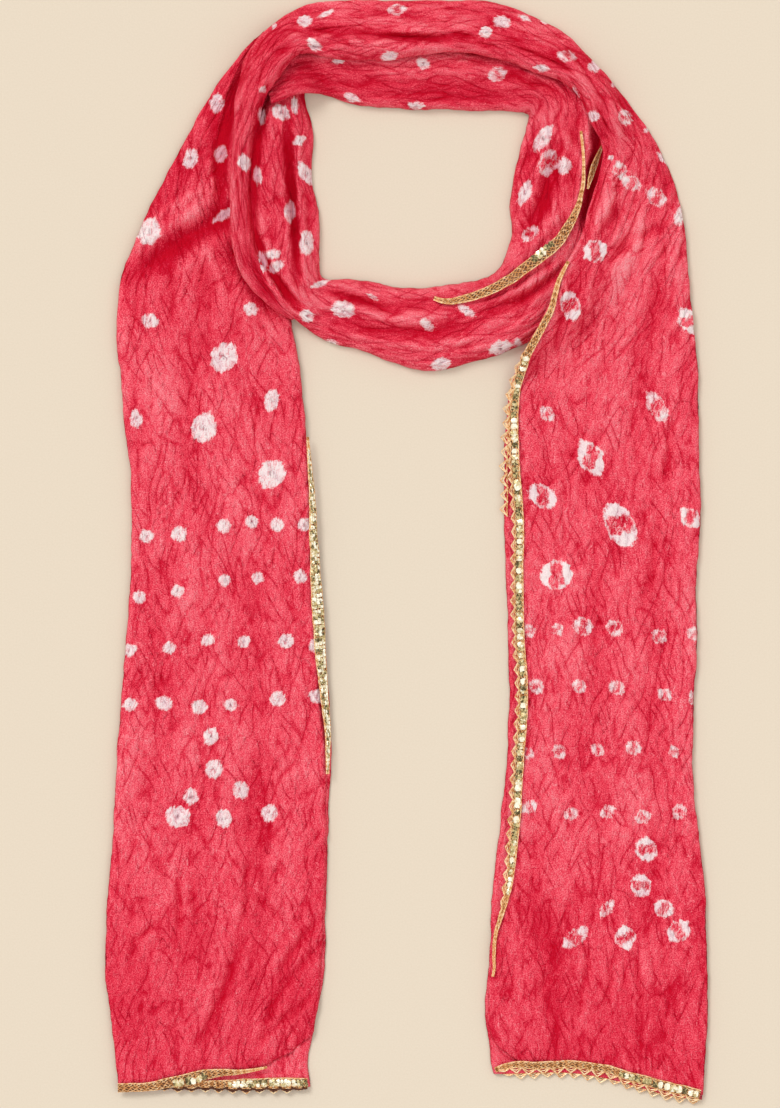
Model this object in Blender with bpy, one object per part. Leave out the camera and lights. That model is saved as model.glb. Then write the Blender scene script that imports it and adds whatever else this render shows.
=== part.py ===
"""Dupatta stole of crushed silk with gold gota lace, laid out flat with a neck loop.

The stole is one long strip, folded lengthwise into about four layers and laid down as a rising helix:
the left tail, the lower stretch behind the neck, the right side of the loop, the front band, the left
side of the loop, the upper stretch behind the neck and the right tail, which ends on top.  Each stretch
is one closed solid, lofted through rings across the strip.  Its underside follows what already lies
below it, and its top has the folded layers' thickness, their rounded edges, the free edge of the upper
layers and the main creases.  The lace strips are laid on in the same way.

The stole lies on the plane z = 0.  +Y runs from the hems to the neck, and the tables are in millimetres.
"""

import math
from collections import namedtuple

import bmesh
import bpy
import numpy as np

MM = 0.001

# The middle of the stole's outline in the tables' millimetres, which comes to the origin.
OUTLINE_MIDDLE = (-0.26, -0.06, 0.0)

# Driving sizes, in millimetres.
SEAM_GAP = 0.3          # between stretches that meet end to end, and between a piece and what it lies on
RIM = 1.6               # height of the upright edge of a folded layer
UNDER_LAYER = 2.7       # height of the lower layers of a tail, where they show past the upper ones
TAIL_END_ROUND = 7.0    # length over which a tail thins to its hem
FREE_EDGE_ROUND = 3.0   # distance over which a single open edge of the layers rounds off
THINNEST_WALL = 1.2     # least height of cloth anywhere
CRUSH_HEIGHT = 0.55     # height of the broad waves of the crushed cloth
LACE_THICKNESS = 1.0
LACE_EASE = 0.35        # what a lace stands off beyond the seam gap
LACE_FLOOR = 1.4        # height of a lace's lower face where nothing lies below it
PICOT_PITCH = 9.0       # spacing of the points along the lace's edge

# How finely the solids are cut.
TOP_POINTS = 19         # points across the top of a stretch
BOTTOM_POINTS = 9       # points across its underside
TAIL_PITCH = 13.0       # spacing of the rings along a tail
LOOP_PITCH = 8.5        # spacing of the rings along the loop
OVER_LOOP = 155.0       # length of the right tail that lies over the loop

# The map of heights that the pieces are laid on, one cell for each square millimetre.
MAP_LEFT = -230
MAP_FRONT = -380
MAP_SIZE_X = 460
MAP_SIZE_Y = 770
FACET_REACH = 6         # the underside clears what lies within this distance, so that flat facets do
DRAPE_REACH = 8         # distance over which the underside smooths itself
LACE_FACET_REACH = 3    # the same two distances under lace
LACE_DRAPE_REACH = 1

Section = namedtuple("Section", "inner_x inner_y outer_x outer_y height round_edge")
Crease = namedtuple("Crease", "x0 y0 x1 y1 x2 y2 width depth")

# Sections across the strip, in the order in which it is laid.  The inner edge is the one nearer the neck
# opening or the other tail.  height is that of all the folded layers, and round_edge is the distance over
# which their edges round off.
SECTIONS = {
    "tail_left": (
        Section(-63.5, -346.5, -187.0, -348.0, 5.0, 6),
        Section(-64.5, -330.0, -189.5, -330.0, 5.4, 6),
        Section(-61.0, -309.0, -192.0, -308.0, 5.4, 6),
        Section(-54.5, -280.0, -195.5, -280.0, 5.6, 7),
        Section(-53.0, -235.0, -195.5, -235.0, 5.6, 7),
        Section(-51.5, -179.5, -191.0, -179.5, 5.6, 7),
        Section(-49.5, -120.0, -188.0, -120.0, 5.8, 7),
        Section(-52.5, -72.0, -184.0, -72.0, 5.8, 7),
        Section(-57.0, -23.5, -180.5, -23.5, 6.0, 7),
        Section(-60.5, 15.5, -179.0, 15.5, 6.2, 8),
        Section(-63.0, 51.5, -179.5, 51.5, 6.2, 8),
        Section(-66.0, 84.0, -184.0, 84.0, 6.4, 8),
        Section(-69.0, 113.0, -186.0, 113.0, 6.6, 9),
        Section(-73.0, 138.0, -189.0, 142.5, 7.0, 9),
        Section(-76.0, 159.0, -186.5, 176.0, 7.2, 10),
        Section(-76.0, 182.0, -177.5, 202.0, 7.6, 10),
        Section(-83.0, 209.5, -165.0, 230.0, 8.0, 11),
        Section(-88.0, 236.0, -151.5, 256.0, 8.4, 12),
        Section(-87.0, 261.5, -136.0, 284.0, 8.4, 12),
        Section(-83.0, 281.0, -119.5, 310.5, 8.0, 12),
        Section(-81.0, 298.5, -102.5, 331.5, 7.0, 11),
        Section(-80.0, 312.0, -93.0, 339.5, 5.0, 9),
    ),
    "back_under": (
        Section(-88.0, 292.0, -94.0, 313.5, 3.0, 8),
        Section(-80.0, 295.0, -85.0, 321.0, 6.0, 12),
        Section(-69.5, 298.5, -71.5, 331.5, 9.0, 16),
        Section(-59.0, 299.0, -58.0, 335.5, 11.0, 17),
        Section(-47.5, 296.5, -46.0, 335.5, 11.5, 18),
        Section(-34.5, 292.5, -34.5, 334.0, 12.0, 18),
        Section(-10.0, 290.0, -10.0, 333.0, 12.0, 18),
        Section(21.5, 289.0, 21.5, 332.0, 12.0, 18),
        Section(54.0, 288.0, 56.0, 330.0, 12.0, 18),
        Section(78.5, 287.5, 86.0, 322.5, 11.0, 16),
        Section(97.0, 283.0, 109.0, 307.0, 9.0, 12),
        Section(115.0, 268.5, 127.5, 291.0, 6.0, 10),
    ),
    "side_right": (
        Section(83.0, 303.0, 123.0, 304.0, 3.5, 8),
        Section(80.0, 291.0, 128.0, 290.0, 5.0, 10),
        Section(75.0, 269.0, 129.5, 268.0, 10.5, 16),
        Section(69.5, 244.5, 129.5, 243.0, 12.5, 20),
        Section(67.5, 226.0, 128.0, 225.0, 13.0, 20),
        Section(68.0, 206.5, 125.5, 201.5, 13.0, 20),
    ),
    "front_band": (
        Section(65.0, 197.5, 124.0, 188.5, 13.5, 20),
        Section(60.5, 187.0, 112.0, 166.0, 14.0, 20),
        Section(52.0, 180.0, 89.5, 144.0, 14.0, 20),
        Section(40.0, 177.0, 64.5, 131.5, 14.0, 20),
        Section(28.5, 175.0, 41.0, 124.0, 14.0, 20),
        Section(15.0, 173.5, 16.0, 119.0, 14.0, 20),
        Section(-1.5, 173.0, -7.0, 124.0, 14.0, 20),
        Section(-19.0, 176.0, -30.5, 132.5, 13.0, 18),
        Section(-36.0, 178.5, -52.5, 138.5, 12.0, 16),
        Section(-48.0, 178.0, -70.0, 147.5, 11.0, 15),
        Section(-53.5, 177.0, -81.0, 154.0, 10.8, 15),
        Section(-56.0, 178.0, -90.5, 162.5, 10.5, 15),
    ),
    "side_left": (
        Section(-56.0, 178.3, -75.4, 169.6, 10.5, 12),
        Section(-55.5, 188.5, -88.0, 180.5, 10.5, 14),
        Section(-56.5, 204.0, -95.5, 196.5, 10.5, 16),
        Section(-58.0, 226.0, -98.0, 221.0, 10.5, 16),
        Section(-62.0, 243.0, -99.5, 244.5, 10.5, 16),
        Section(-61.0, 262.5, -99.5, 265.0, 10.5, 16),
        Section(-63.5, 279.5, -94.0, 281.0, 9.0, 14),
        Section(-65.5, 291.0, -90.5, 290.0, 6.0, 10),
        Section(-67.0, 301.5, -86.5, 300.5, 3.0, 8),
    ),
    "side_left_outer": (
        Section(-76.4, 169.2, -90.7, 162.8, 10.5, 9),
        Section(-89.2, 179.6, -102.5, 172.0, 10.5, 10),
        Section(-96.8, 196.2, -112.5, 190.5, 10.5, 11),
        Section(-99.4, 221.0, -117.5, 219.5, 10.5, 11),
        Section(-100.6, 244.5, -117.5, 243.0, 10.5, 11),
        Section(-100.6, 265.0, -116.5, 262.5, 10.5, 11),
        Section(-97.5, 279.5, -114.0, 282.0, 10.5, 11),
    ),
    "back_over": (
        Section(-93.5, 291.0, -112.0, 296.5, 10.8, 12),
        Section(-90.5, 297.5, -109.0, 307.5, 11.0, 13),
        Section(-82.0, 310.5, -104.5, 323.5, 11.5, 14),
        Section(-75.0, 320.0, -94.0, 338.0, 12.0, 14),
        Section(-67.5, 325.0, -79.5, 350.5, 12.0, 14),
        Section(-55.0, 323.0, -64.5, 357.0, 12.0, 15),
        Section(-40.5, 321.0, -45.0, 359.5, 12.0, 15),
        Section(-11.0, 320.5, -10.0, 360.0, 12.0, 15),
        Section(15.0, 324.5, 21.5, 360.0, 12.0, 14),
        Section(41.0, 325.0, 53.5, 359.0, 12.0, 14),
        Section(63.5, 320.5, 76.5, 352.0, 12.0, 13),
        Section(84.5, 312.0, 101.0, 339.5, 12.0, 13),
        Section(99.5, 307.0, 120.0, 322.0, 11.5, 12),
        Section(110.5, 297.5, 135.0, 305.0, 11.0, 12),
        Section(119.0, 281.0, 151.5, 283.5, 10.5, 12),
        Section(127.0, 262.5, 164.5, 263.0, 10.0, 13),
    ),
    "tail_right": (
        Section(124.0, 243.0, 173.0, 244.5, 9.5, 14),
        Section(117.5, 223.0, 178.0, 225.5, 9.0, 14),
        Section(110.5, 202.0, 181.5, 204.0, 8.5, 12),
        Section(99.5, 182.0, 182.5, 182.0, 8.0, 11),
        Section(91.5, 161.0, 185.0, 161.0, 7.4, 10),
        Section(81.0, 140.5, 187.0, 140.5, 7.0, 9),
        Section(70.5, 118.5, 189.0, 118.5, 6.6, 9),
        Section(65.0, 92.5, 189.5, 92.5, 6.4, 8),
        Section(63.0, 60.0, 190.0, 60.0, 6.2, 8),
        Section(63.0, 25.0, 191.0, 25.0, 6.2, 8),
        Section(64.5, -15.0, 188.0, -15.0, 6.0, 7),
        Section(65.5, -56.0, 188.5, -54.0, 6.0, 7),
        Section(66.5, -97.0, 186.5, -97.0, 5.8, 7),
        Section(63.5, -145.0, 186.0, -145.0, 5.8, 7),
        Section(60.0, -183.0, 189.5, -183.0, 5.6, 7),
        Section(55.5, -220.0, 193.5, -220.0, 5.6, 7),
        Section(53.5, -265.0, 195.0, -265.0, 5.4, 7),
        Section(50.5, -298.0, 195.5, -298.0, 5.4, 6),
        Section(52.5, -315.0, 194.5, -320.0, 5.4, 6),
        Section(56.5, -338.0, 192.0, -355.0, 5.0, 6),
    ),
}

# Stretches that run on from one another, in the order of the strip.
RUNS = (
    ("side_right", "front_band"),
    ("side_left",),
    ("side_left_outer", "back_over", "tail_right"),
    ("tail_left",),
    ("back_under",),
)

# The order of laying, and what each stretch lies on.
LIES_ON = {
    "side_right": (),
    "tail_left": (),
    "front_band": ("tail_left",),
    "side_left": ("tail_left",),
    "lace_loop": ("side_right", "front_band"),
    "back_under": ("side_right", "tail_left", "side_left", "lace_loop"),
    "side_left_outer": ("tail_left", "back_under"),
    "back_over": ("tail_left", "back_under", "side_right", "lace_loop"),
    "tail_right": ("side_right", "front_band", "back_under", "lace_loop"),
}

# Free edge of the upper layers of each tail, from its top round to the hem, with the cloth on the left
# hand for the right tail and on the right hand for the left one.  Columns: x, y.
FREE_EDGE = {
    "tail_right": (
        (121.5, 248.0),
        (115.5, 223.0),
        (108.0, 201.5),
        (97.5, 179.0),
        (91.5, 158.5),
        (83.0, 142.5),
        (73.5, 123.0),
        (69.0, 106.5),
        (67.5, 87.0),
        (69.0, 54.5),
        (71.0, 22.0),
        (71.0, -30.0),
        (73.5, -97.0),
        (71.0, -139.0),
        (68.0, -184.5),
        (65.5, -206.5),
        (61.0, -229.5),
        (56.5, -244.0),
        (54.0, -274.5),
        (52.0, -300.5),
        (58.5, -319.0),
        (72.0, -331.0),
        (114.0, -331.5),
        (134.0, -336.5),
        (165.0, -346.0),
        (191.0, -351.5),
    ),
    "tail_left": (
        (-75.0, 315.0),
        (-80.0, 240.0),
        (-73.5, 180.0),
        (-70.5, 140.0),
        (-67.0, 106.0),
        (-65.5, 86.5),
        (-63.5, 49.0),
        (-63.5, 9.0),
        (-62.0, -43.0),
        (-58.5, -88.5),
        (-55.5, -122.0),
        (-52.0, -153.5),
        (-53.5, -225.0),
        (-56.5, -290.0),
        (-58.5, -304.0),
        (-65.5, -313.5),
        (-76.5, -324.5),
        (-93.0, -333.0),
        (-104.0, -336.0),
        (-125.5, -336.0),
        (-141.5, -340.5),
        (-163.0, -345.0),
        (-187.0, -347.0),
    ),
}

# Main creases, each a soft trough along a curve from its first point to its last that bends towards the
# middle one.  width is half the trough's width.
CREASES = {
    "tail_left": (
        Crease(-116.5, 236.5, -140.0, 206.5, -173.5, 180.5, 6, 3.6),
        Crease(-124.0, 248.5, -150.0, 221.0, -176.0, 197.5, 11, -1.8),
        Crease(-123.5, 212.0, -109.0, 175.5, -90.5, 154.5, 5, 2.4),
        Crease(-116.5, 206.5, -104.0, 178.0, -80.0, 151.0, 5, 2.6),
        Crease(-134.5, 192.5, -130.5, 177.0, -124.0, 161.0, 6, 1.8),
        Crease(-160.5, 48.0, -156.5, -56.0, -162.0, -160.0, 9, 1.3),
        Crease(-102.0, -4.0, -94.0, -134.0, -99.0, -264.0, 9, 1.3),
        Crease(-134.5, 145.5, -141.0, 87.0, -137.0, 22.0, 8, 1.4),
    ),
    "back_under": (
        Crease(-50.0, 308.0, 15.0, 303.0, 86.5, 296.5, 6, 3.0),
        Crease(-69.5, 321.0, -59.0, 313.5, -50.0, 300.5, 5, 2.4),
    ),
    "side_right": (
        Crease(94.0, 262.5, 95.5, 240.5, 78.5, 205.5, 7, 6.0),
        Crease(111.0, 282.0, 108.5, 251.0, 103.5, 222.5, 5, 3.0),
        Crease(86.5, 283.5, 81.0, 262.5, 76.0, 242.0, 4, 2.6),
    ),
    "front_band": (
        Crease(-50.0, 171.5, -14.5, 153.5, 41.0, 167.5, 4, 3.4),
        Crease(-55.0, 153.5, 15.0, 132.5, 89.5, 165.0, 5, 3.4),
        Crease(110.0, 192.5, 86.5, 165.0, 31.0, 157.5, 4, 2.6),
    ),
    "side_left": (
        Crease(-71.5, 297.5, -75.5, 236.5, -71.5, 183.0, 6, 7.0),
        Crease(-85.0, 283.5, -88.0, 236.5, -81.0, 186.0, 3, 2.0),
    ),
    "side_left_outer": (
        Crease(-106.5, 288.5, -110.0, 236.5, -101.0, 183.5, 3, 2.4),
    ),
    "back_over": (
        Crease(-65.5, 340.5, -14.5, 338.5, 37.5, 332.0, 4, 2.6),
        Crease(-69.5, 352.5, -59.0, 356.0, -47.5, 349.5, 3, 2.0),
        Crease(65.5, 331.5, 86.5, 323.5, 107.0, 313.5, 4, 3.2),
        Crease(99.5, 334.0, 129.5, 310.5, 151.5, 277.0, 5, 2.4),
        Crease(-99.0, 321.0, -88.0, 334.0, -69.5, 343.0, 4, 2.4),
    ),
    "tail_right": (
        Crease(146.0, 235.0, 133.0, 204.0, 115.5, 165.0, 7, 2.6),
        Crease(167.0, 236.5, 154.5, 152.0, 151.5, 54.5, 8, 2.0),
        Crease(133.0, 236.0, 119.0, 184.5, 86.5, 122.0, 6, 2.4),
        Crease(125.5, 22.0, 119.0, -82.0, 128.0, -199.0, 9, 1.3),
        Crease(158.0, -4.0, 167.0, -121.0, 158.0, -251.0, 9, 1.3),
        Crease(86.5, -225.0, 99.5, -277.0, 97.0, -322.5, 8, 1.4),
    ),
}

# Paths that lace is sewn along where no edge of a stretch gives them.  Columns: x, y.
LACE_PATHS = {
    "left_under_edge": (
        (-65.5, 76.0),
        (-63.0, 48.0),
        (-61.5, 9.0),
        (-59.5, -27.5),
        (-57.5, -56.0),
        (-54.5, -95.0),
        (-52.0, -122.0),
        (-52.5, -143.0),
    ),
    "right_hem": (
        (59.0, -336.0),
        (72.0, -331.0),
        (114.0, -331.5),
        (134.0, -336.5),
        (165.0, -346.0),
        (191.0, -351.5),
    ),
    "loop": (
        (113.0, 274.5),
        (115.0, 259.0),
        (114.0, 236.5),
        (108.5, 219.0),
        (95.5, 201.0),
        (75.5, 186.0),
        (54.0, 173.5),
        (29.0, 166.0),
        (18.0, 163.5),
    ),
}

SILK = ("crushed_silk", (0.78, 0.06, 0.10, 1.0), 0.55, 0.0)
GOTA = ("gota_lace", (0.80, 0.52, 0.16, 1.0), 0.35, 0.9)


def curve_through(table, at=None, pitch=None):
    """Cubic curve through the rows of a table, read at distances along it or at an even pitch.

    Each row's slope is that between its neighbours, so the curve bends smoothly through every row.
    """
    rows = np.array(table, dtype=float)
    middle = rows[:, 0:2] if rows.shape[1] < 4 else (rows[:, 0:2] + rows[:, 2:4]) / 2
    steps = np.hypot(*np.diff(middle, axis=0).T)
    along = np.concatenate(([0.0], np.cumsum(steps)))
    if at is None:
        at = np.linspace(0.0, along[-1], max(2, round(along[-1] / pitch) + 1))
    slope = np.gradient(rows, along, axis=0)
    k = np.clip(np.searchsorted(along, at, side="right") - 1, 0, len(along) - 2)
    span = (along[k + 1] - along[k])[:, None]
    t = ((at - along[k])[:, None]) / span
    value = rows[k] * (1 + 2 * t) * (1 - t) ** 2 + rows[k + 1] * t * t * (3 - 2 * t)
    return value + span * (slope[k] * t * (1 - t) ** 2 - slope[k + 1] * t * t * (1 - t))


def stretch_sections(run, name):
    """Sections of one stretch, read from the curve through its whole run, short of its seams."""
    rows = [row for stretch in run for row in SECTIONS[stretch]]
    table = np.array(rows, dtype=float)
    middle = (table[:, 0:2] + table[:, 2:4]) / 2
    along = np.concatenate(([0.0], np.cumsum(np.hypot(*np.diff(middle, axis=0).T))))
    first = sum(len(SECTIONS[stretch]) for stretch in run[:run.index(name)])
    last = first + len(SECTIONS[name])
    start = along[first] + SEAM_GAP / 2
    end = along[min(last, len(rows) - 1)] - SEAM_GAP / 2
    if name == "tail_right":
        clear = start + OVER_LOOP
        over_loop = np.linspace(start, clear, round(OVER_LOOP / LOOP_PITCH) + 1)
        free = np.linspace(clear, end, round((end - clear) / TAIL_PITCH) + 1)
        return curve_through(rows, at=np.concatenate((over_loop, free[1:])))
    pitch = TAIL_PITCH if name == "tail_left" else LOOP_PITCH
    return curve_through(rows, at=np.linspace(start, end, round((end - start) / pitch) + 1))


def distance_to_path(x, y, path):
    """Distance from each point to a polyline, positive on its left-hand side."""
    best = np.full(x.shape, np.inf)
    side = np.zeros(x.shape)
    for (x0, y0), (x1, y1) in zip(path[:-1], path[1:]):
        dx, dy = x1 - x0, y1 - y0
        t = np.clip(((x - x0) * dx + (y - y0) * dy) / (dx * dx + dy * dy), 0, 1)
        away = np.hypot(x - x0 - t * dx, y - y0 - t * dy)
        nearer = away < best - 1e-6
        best = np.where(nearer, away, best)
        side = np.where(nearer, np.sign(dx * (y - y0) - dy * (x - x0)), side)
    return best * side


def crease_depth(x, y, crease):
    """Depth of one trough: a bell across its curve that fades towards both ends."""
    t = np.linspace(0, 1, 25)
    px = (1 - t) ** 2 * crease.x0 + 2 * t * (1 - t) * crease.x1 + t * t * crease.x2
    py = (1 - t) ** 2 * crease.y0 + 2 * t * (1 - t) * crease.y1 + t * t * crease.y2
    away = np.hypot(x[..., None] - px, y[..., None] - py)
    nearest = away.argmin(axis=-1)
    fade = np.sin(np.pi * np.clip(t[nearest] * 0.92 + 0.04, 0, 1)) ** 0.6
    return crease.depth * fade * np.exp(-(away.min(axis=-1) / crease.width) ** 2)


def rounded(distance, reach):
    """A quarter ellipse: 0 at an edge, rising steeply to 1 at the given distance from it."""
    t = np.clip(distance / reach, 0, 1)
    return np.sqrt(1 - (1 - t) ** 2)


def crush_waves(x, y):
    """Broad uneven waves of the crushed cloth, longer along the strip than across it."""
    wave = np.sin(x / 4.3 + 1.9 * np.sin(y / 31) + 0.6) * np.sin(y / 17 + 1.3 * np.sin(x / 23))
    return CRUSH_HEIGHT * (wave + 0.6 * np.sin(x / 9.1 - y / 13.7 + 1.1 * np.sin(y / 19)))


class Heap:
    """Map of the height of everything laid so far, one value for each square millimetre."""

    def __init__(self):
        self.tops = {}

    def add(self, name, x, y, z):
        """Record a grid of top points, filled in between them to less than a millimetre."""
        fine = [np.linspace(0, n - 1, (n - 1) * 22 + 1) for n in x.shape]
        grids = []
        for grid in (x, y, z):
            k = np.clip(fine[0].astype(int), 0, grid.shape[0] - 2)
            t = (fine[0] - k)[:, None]
            rows = grid[k] * (1 - t) + grid[k + 1] * t
            j = np.clip(fine[1].astype(int), 0, grid.shape[1] - 2)
            s = fine[1] - j
            grids.append(rows[:, j] * (1 - s) + rows[:, j + 1] * s)
        top = np.zeros((MAP_SIZE_Y, MAP_SIZE_X))
        column = np.round(grids[0] - MAP_LEFT).astype(int)
        row = np.round(grids[1] - MAP_FRONT).astype(int)
        np.maximum.at(top, (row, column), grids[2] + SEAM_GAP)
        self.tops[name] = top

    def under(self, names, facet=FACET_REACH, drape=DRAPE_REACH):
        """Smooth surface that clears the named pieces: the highest nearby, then averaged."""
        surface = np.zeros((MAP_SIZE_Y, MAP_SIZE_X))
        for name in names:
            surface = np.maximum(surface, self.tops[name])
        for axis in (0, 1):
            reach = facet + drape
            surface = np.max([np.roll(surface, k, axis) for k in range(-reach, reach + 1)], axis=0)
        for axis in (0, 1):
            surface = np.mean([np.roll(surface, k, axis) for k in range(-drape, drape + 1)], axis=0)
        return surface


def read_map(surface, x, y):
    """Height of a map at each point, in a straight line between its cells."""
    column = np.clip(x - MAP_LEFT, 0, MAP_SIZE_X - 2)
    row = np.clip(y - MAP_FRONT, 0, MAP_SIZE_Y - 2)
    j, i = column.astype(int), row.astype(int)
    s, t = column - j, row - i
    near = surface[i, j] * (1 - s) + surface[i, j + 1] * s
    far = surface[i + 1, j] * (1 - s) + surface[i + 1, j + 1] * s
    return near * (1 - t) + far * t


def cloth_height(name, x, y, across, sections):
    """Height of the folded layers above what they lie on, at each point of a stretch."""
    width = np.hypot(sections[:, 2] - sections[:, 0], sections[:, 3] - sections[:, 1])[:, None]
    full = sections[:, 4:5]
    round_edge = sections[:, 5:6]
    edge = np.minimum(across, 1 - across) * width
    if name in FREE_EDGE:
        free = distance_to_path(x, y, FREE_EDGE[name])
        free = free if name == "tail_right" else -free
        under = RIM + (UNDER_LAYER - RIM) * rounded(edge, FREE_EDGE_ROUND)
        outer = rounded((1 - across) * width, round_edge)
        free_round = np.maximum(FREE_EDGE_ROUND, round_edge - 2 * FREE_EDGE_ROUND)
        upper = (full - UNDER_LAYER) * np.minimum(rounded(np.maximum(free, 0), free_round), outer)
        height = under + upper
    else:
        height = RIM + (full - RIM) * rounded(edge, round_edge)
    for crease in CREASES[name]:
        height = height - crease_depth(x, y, crease)
    ease = rounded(edge, 2 * round_edge)
    return np.maximum(height + ease * crush_waves(x, y), THINNEST_WALL)


def thin_to_hem(height, sections, hem_first):
    """Let a tail's layers round down to the hem at its free end."""
    middle = (sections[:, 0:2] + sections[:, 2:4]) / 2
    along = np.concatenate(([0.0], np.cumsum(np.hypot(*np.diff(middle, axis=0).T))))
    from_hem = along if hem_first else along[-1] - along
    share = rounded(from_hem + 1.5, TAIL_END_ROUND)[:, None]
    return THINNEST_WALL + (height - THINNEST_WALL) * share


def lofted(name, rings, finish):
    """A closed solid through rings of points, in metres, with its two end rings filled."""
    mesh = bpy.data.meshes.new(name)
    bm = bmesh.new()
    loops = [[bm.verts.new((point - OUTLINE_MIDDLE) * MM) for point in ring] for ring in rings]
    for ring, following in zip(loops[:-1], loops[1:]):
        for k in range(len(ring)):
            j = (k + 1) % len(ring)
            bm.faces.new((ring[k], ring[j], following[j], following[k]))
    bm.faces.new(loops[0])
    bm.faces.new(loops[-1])
    bmesh.ops.triangulate(bm, faces=bm.faces[:])
    bmesh.ops.recalc_face_normals(bm, faces=bm.faces[:])
    bm.to_mesh(mesh)
    bm.free()
    mesh.materials.append(material(*finish))
    mesh.shade_smooth()
    mesh.set_sharp_from_angle(angle=math.radians(50))
    solid = bpy.data.objects.new(name, mesh)
    bpy.context.collection.objects.link(solid)
    return solid


def material(name, colour, roughness, metallic):
    """The named finish, made the first time it is asked for."""
    finish = bpy.data.materials.get(name)
    if finish is None:
        finish = bpy.data.materials.new(name)
        finish.use_nodes = True
        shader = finish.node_tree.nodes["Principled BSDF"]
        shader.inputs["Base Color"].default_value = colour
        shader.inputs["Roughness"].default_value = roughness
        shader.inputs["Metallic"].default_value = metallic
    return finish


def lay_stretch(heap, run, name):
    """Lay one stretch of the strip on the heap and give its grid of top points."""
    sections = stretch_sections(run, name)
    even = np.linspace(0, 1, TOP_POINTS)
    across = (0.45 * even + 0.55 * (0.5 - 0.5 * np.cos(np.pi * even)))[None, :]
    x = sections[:, 0:1] + (sections[:, 2:3] - sections[:, 0:1]) * across
    y = sections[:, 1:2] + (sections[:, 3:4] - sections[:, 1:2]) * across
    base = read_map(heap.under(LIES_ON[name]), x, y)
    height = cloth_height(name, x, y, across, sections)
    if name in FREE_EDGE:
        height = thin_to_hem(height, sections, hem_first=name == "tail_left")
    top = np.stack((x, y, base + height), axis=-1)
    kept = np.round(np.linspace(0, TOP_POINTS - 1, BOTTOM_POINTS)).astype(int)
    bottom = np.stack((x, y, base), axis=-1)[:, kept][:, ::-1]
    lofted(name, np.concatenate((top, bottom), axis=1), SILK)
    heap.add(name, x, y, base + height)
    return top


def moved_aside(path, distance):
    """Points of a path moved to its right, all by one distance or each by its own."""
    along = np.gradient(path, axis=0)
    along = along / np.hypot(along[:, 0], along[:, 1])[:, None]
    right = np.stack((along[:, 1], -along[:, 0]), axis=-1)
    return path + right * np.broadcast_to(distance, len(path))[:, None]


def lay_lace(heap, name, path, inner, outer, picot, lies_on):
    """A strip of lace along a path: inner and outer are its edges' distances to the path's right.

    The picots stand out past the outer edge, one at each pitch, level with its foot.
    """
    path = np.array(path, dtype=float)
    length = np.hypot(*np.diff(path, axis=0).T).sum()
    picots = max(2, round(length / PICOT_PITCH))
    pitch = length / (2 * picots)
    centre = curve_through(path, pitch=pitch)
    reach = np.where(np.arange(len(centre)) % 2 == 1, picot, 0.0)
    near = moved_aside(centre, inner)
    foot = moved_aside(centre, outer)
    far = moved_aside(centre, outer + reach)
    surface = heap.under(lies_on, LACE_FACET_REACH, LACE_DRAPE_REACH)
    near_z = np.maximum(read_map(surface, *near.T) + LACE_EASE, LACE_FLOOR)
    foot_z = np.maximum(read_map(surface, *foot.T), read_map(surface, *far.T))
    far_z = np.maximum(foot_z + LACE_EASE, LACE_FLOOR)
    rings = []
    for a, b, za, zb in zip(near, far, near_z, far_z):
        rings.append(np.array((
            (a[0], a[1], za),
            (b[0], b[1], zb),
            (b[0], b[1], zb + LACE_THICKNESS),
            (a[0], a[1], za + LACE_THICKNESS),
        )))
    lofted(name, np.array(rings), GOTA)
    grid = np.stack((near, far), axis=1)
    z = np.stack((near_z, far_z), axis=1) + LACE_THICKNESS
    heap.add(name, grid[..., 0], grid[..., 1], z)


def between(path, y_high, y_low):
    """The part of a path that lies between two heights of y."""
    rows = np.array(path, dtype=float)
    return rows[(rows[:, 1] <= y_high) & (rows[:, 1] >= y_low)]


def main():
    for item in list(bpy.data.objects):
        bpy.data.objects.remove(item, do_unlink=True)

    heap = Heap()
    run_of = {name: run for run in RUNS for name in run}
    tops = {}
    for name, lies_on in LIES_ON.items():
        if name == "lace_loop":
            lay_lace(heap, name, LACE_PATHS["loop"], -2.5, 3.0, 0, lies_on)
        else:
            tops[name] = lay_stretch(heap, run_of[name], name)

    right_free = FREE_EDGE["tail_right"]
    left_free = FREE_EDGE["tail_left"]
    lay_lace(heap, "lace_right_upper", between(right_free, 180, -244), -3.5, 2.0, 4.5, ("tail_right", "front_band"))
    lay_lace(heap, "lace_right_hem", LACE_PATHS["right_hem"], -4.0, 1.5, 4.5, ("tail_right",))
    lay_lace(heap, "lace_left_edge", LACE_PATHS["left_under_edge"], 4.5, -1.0, -3.0, ("tail_left",))
    lay_lace(heap, "lace_left_hem", left_free[-5:], 4.0, -1.5, -4.5, ("tail_left",))

    right_edge = between(tops["tail_right"][:, 0, 0:2], 118, -240)
    lay_lace(heap, "lace_right_under", right_edge, 0.4, 1.6, 4.5, ())
    right_end = tops["tail_right"][-1, :, 0:2]
    lay_lace(heap, "lace_right_hem_under", right_end[4:], 0.4, 1.6, 4.5, ())
    left_end = tops["tail_left"][0, :, 0:2]
    lay_lace(heap, "lace_left_hem_under", left_end[:10], -0.4, -1.6, -4.5, ())


main()
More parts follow.
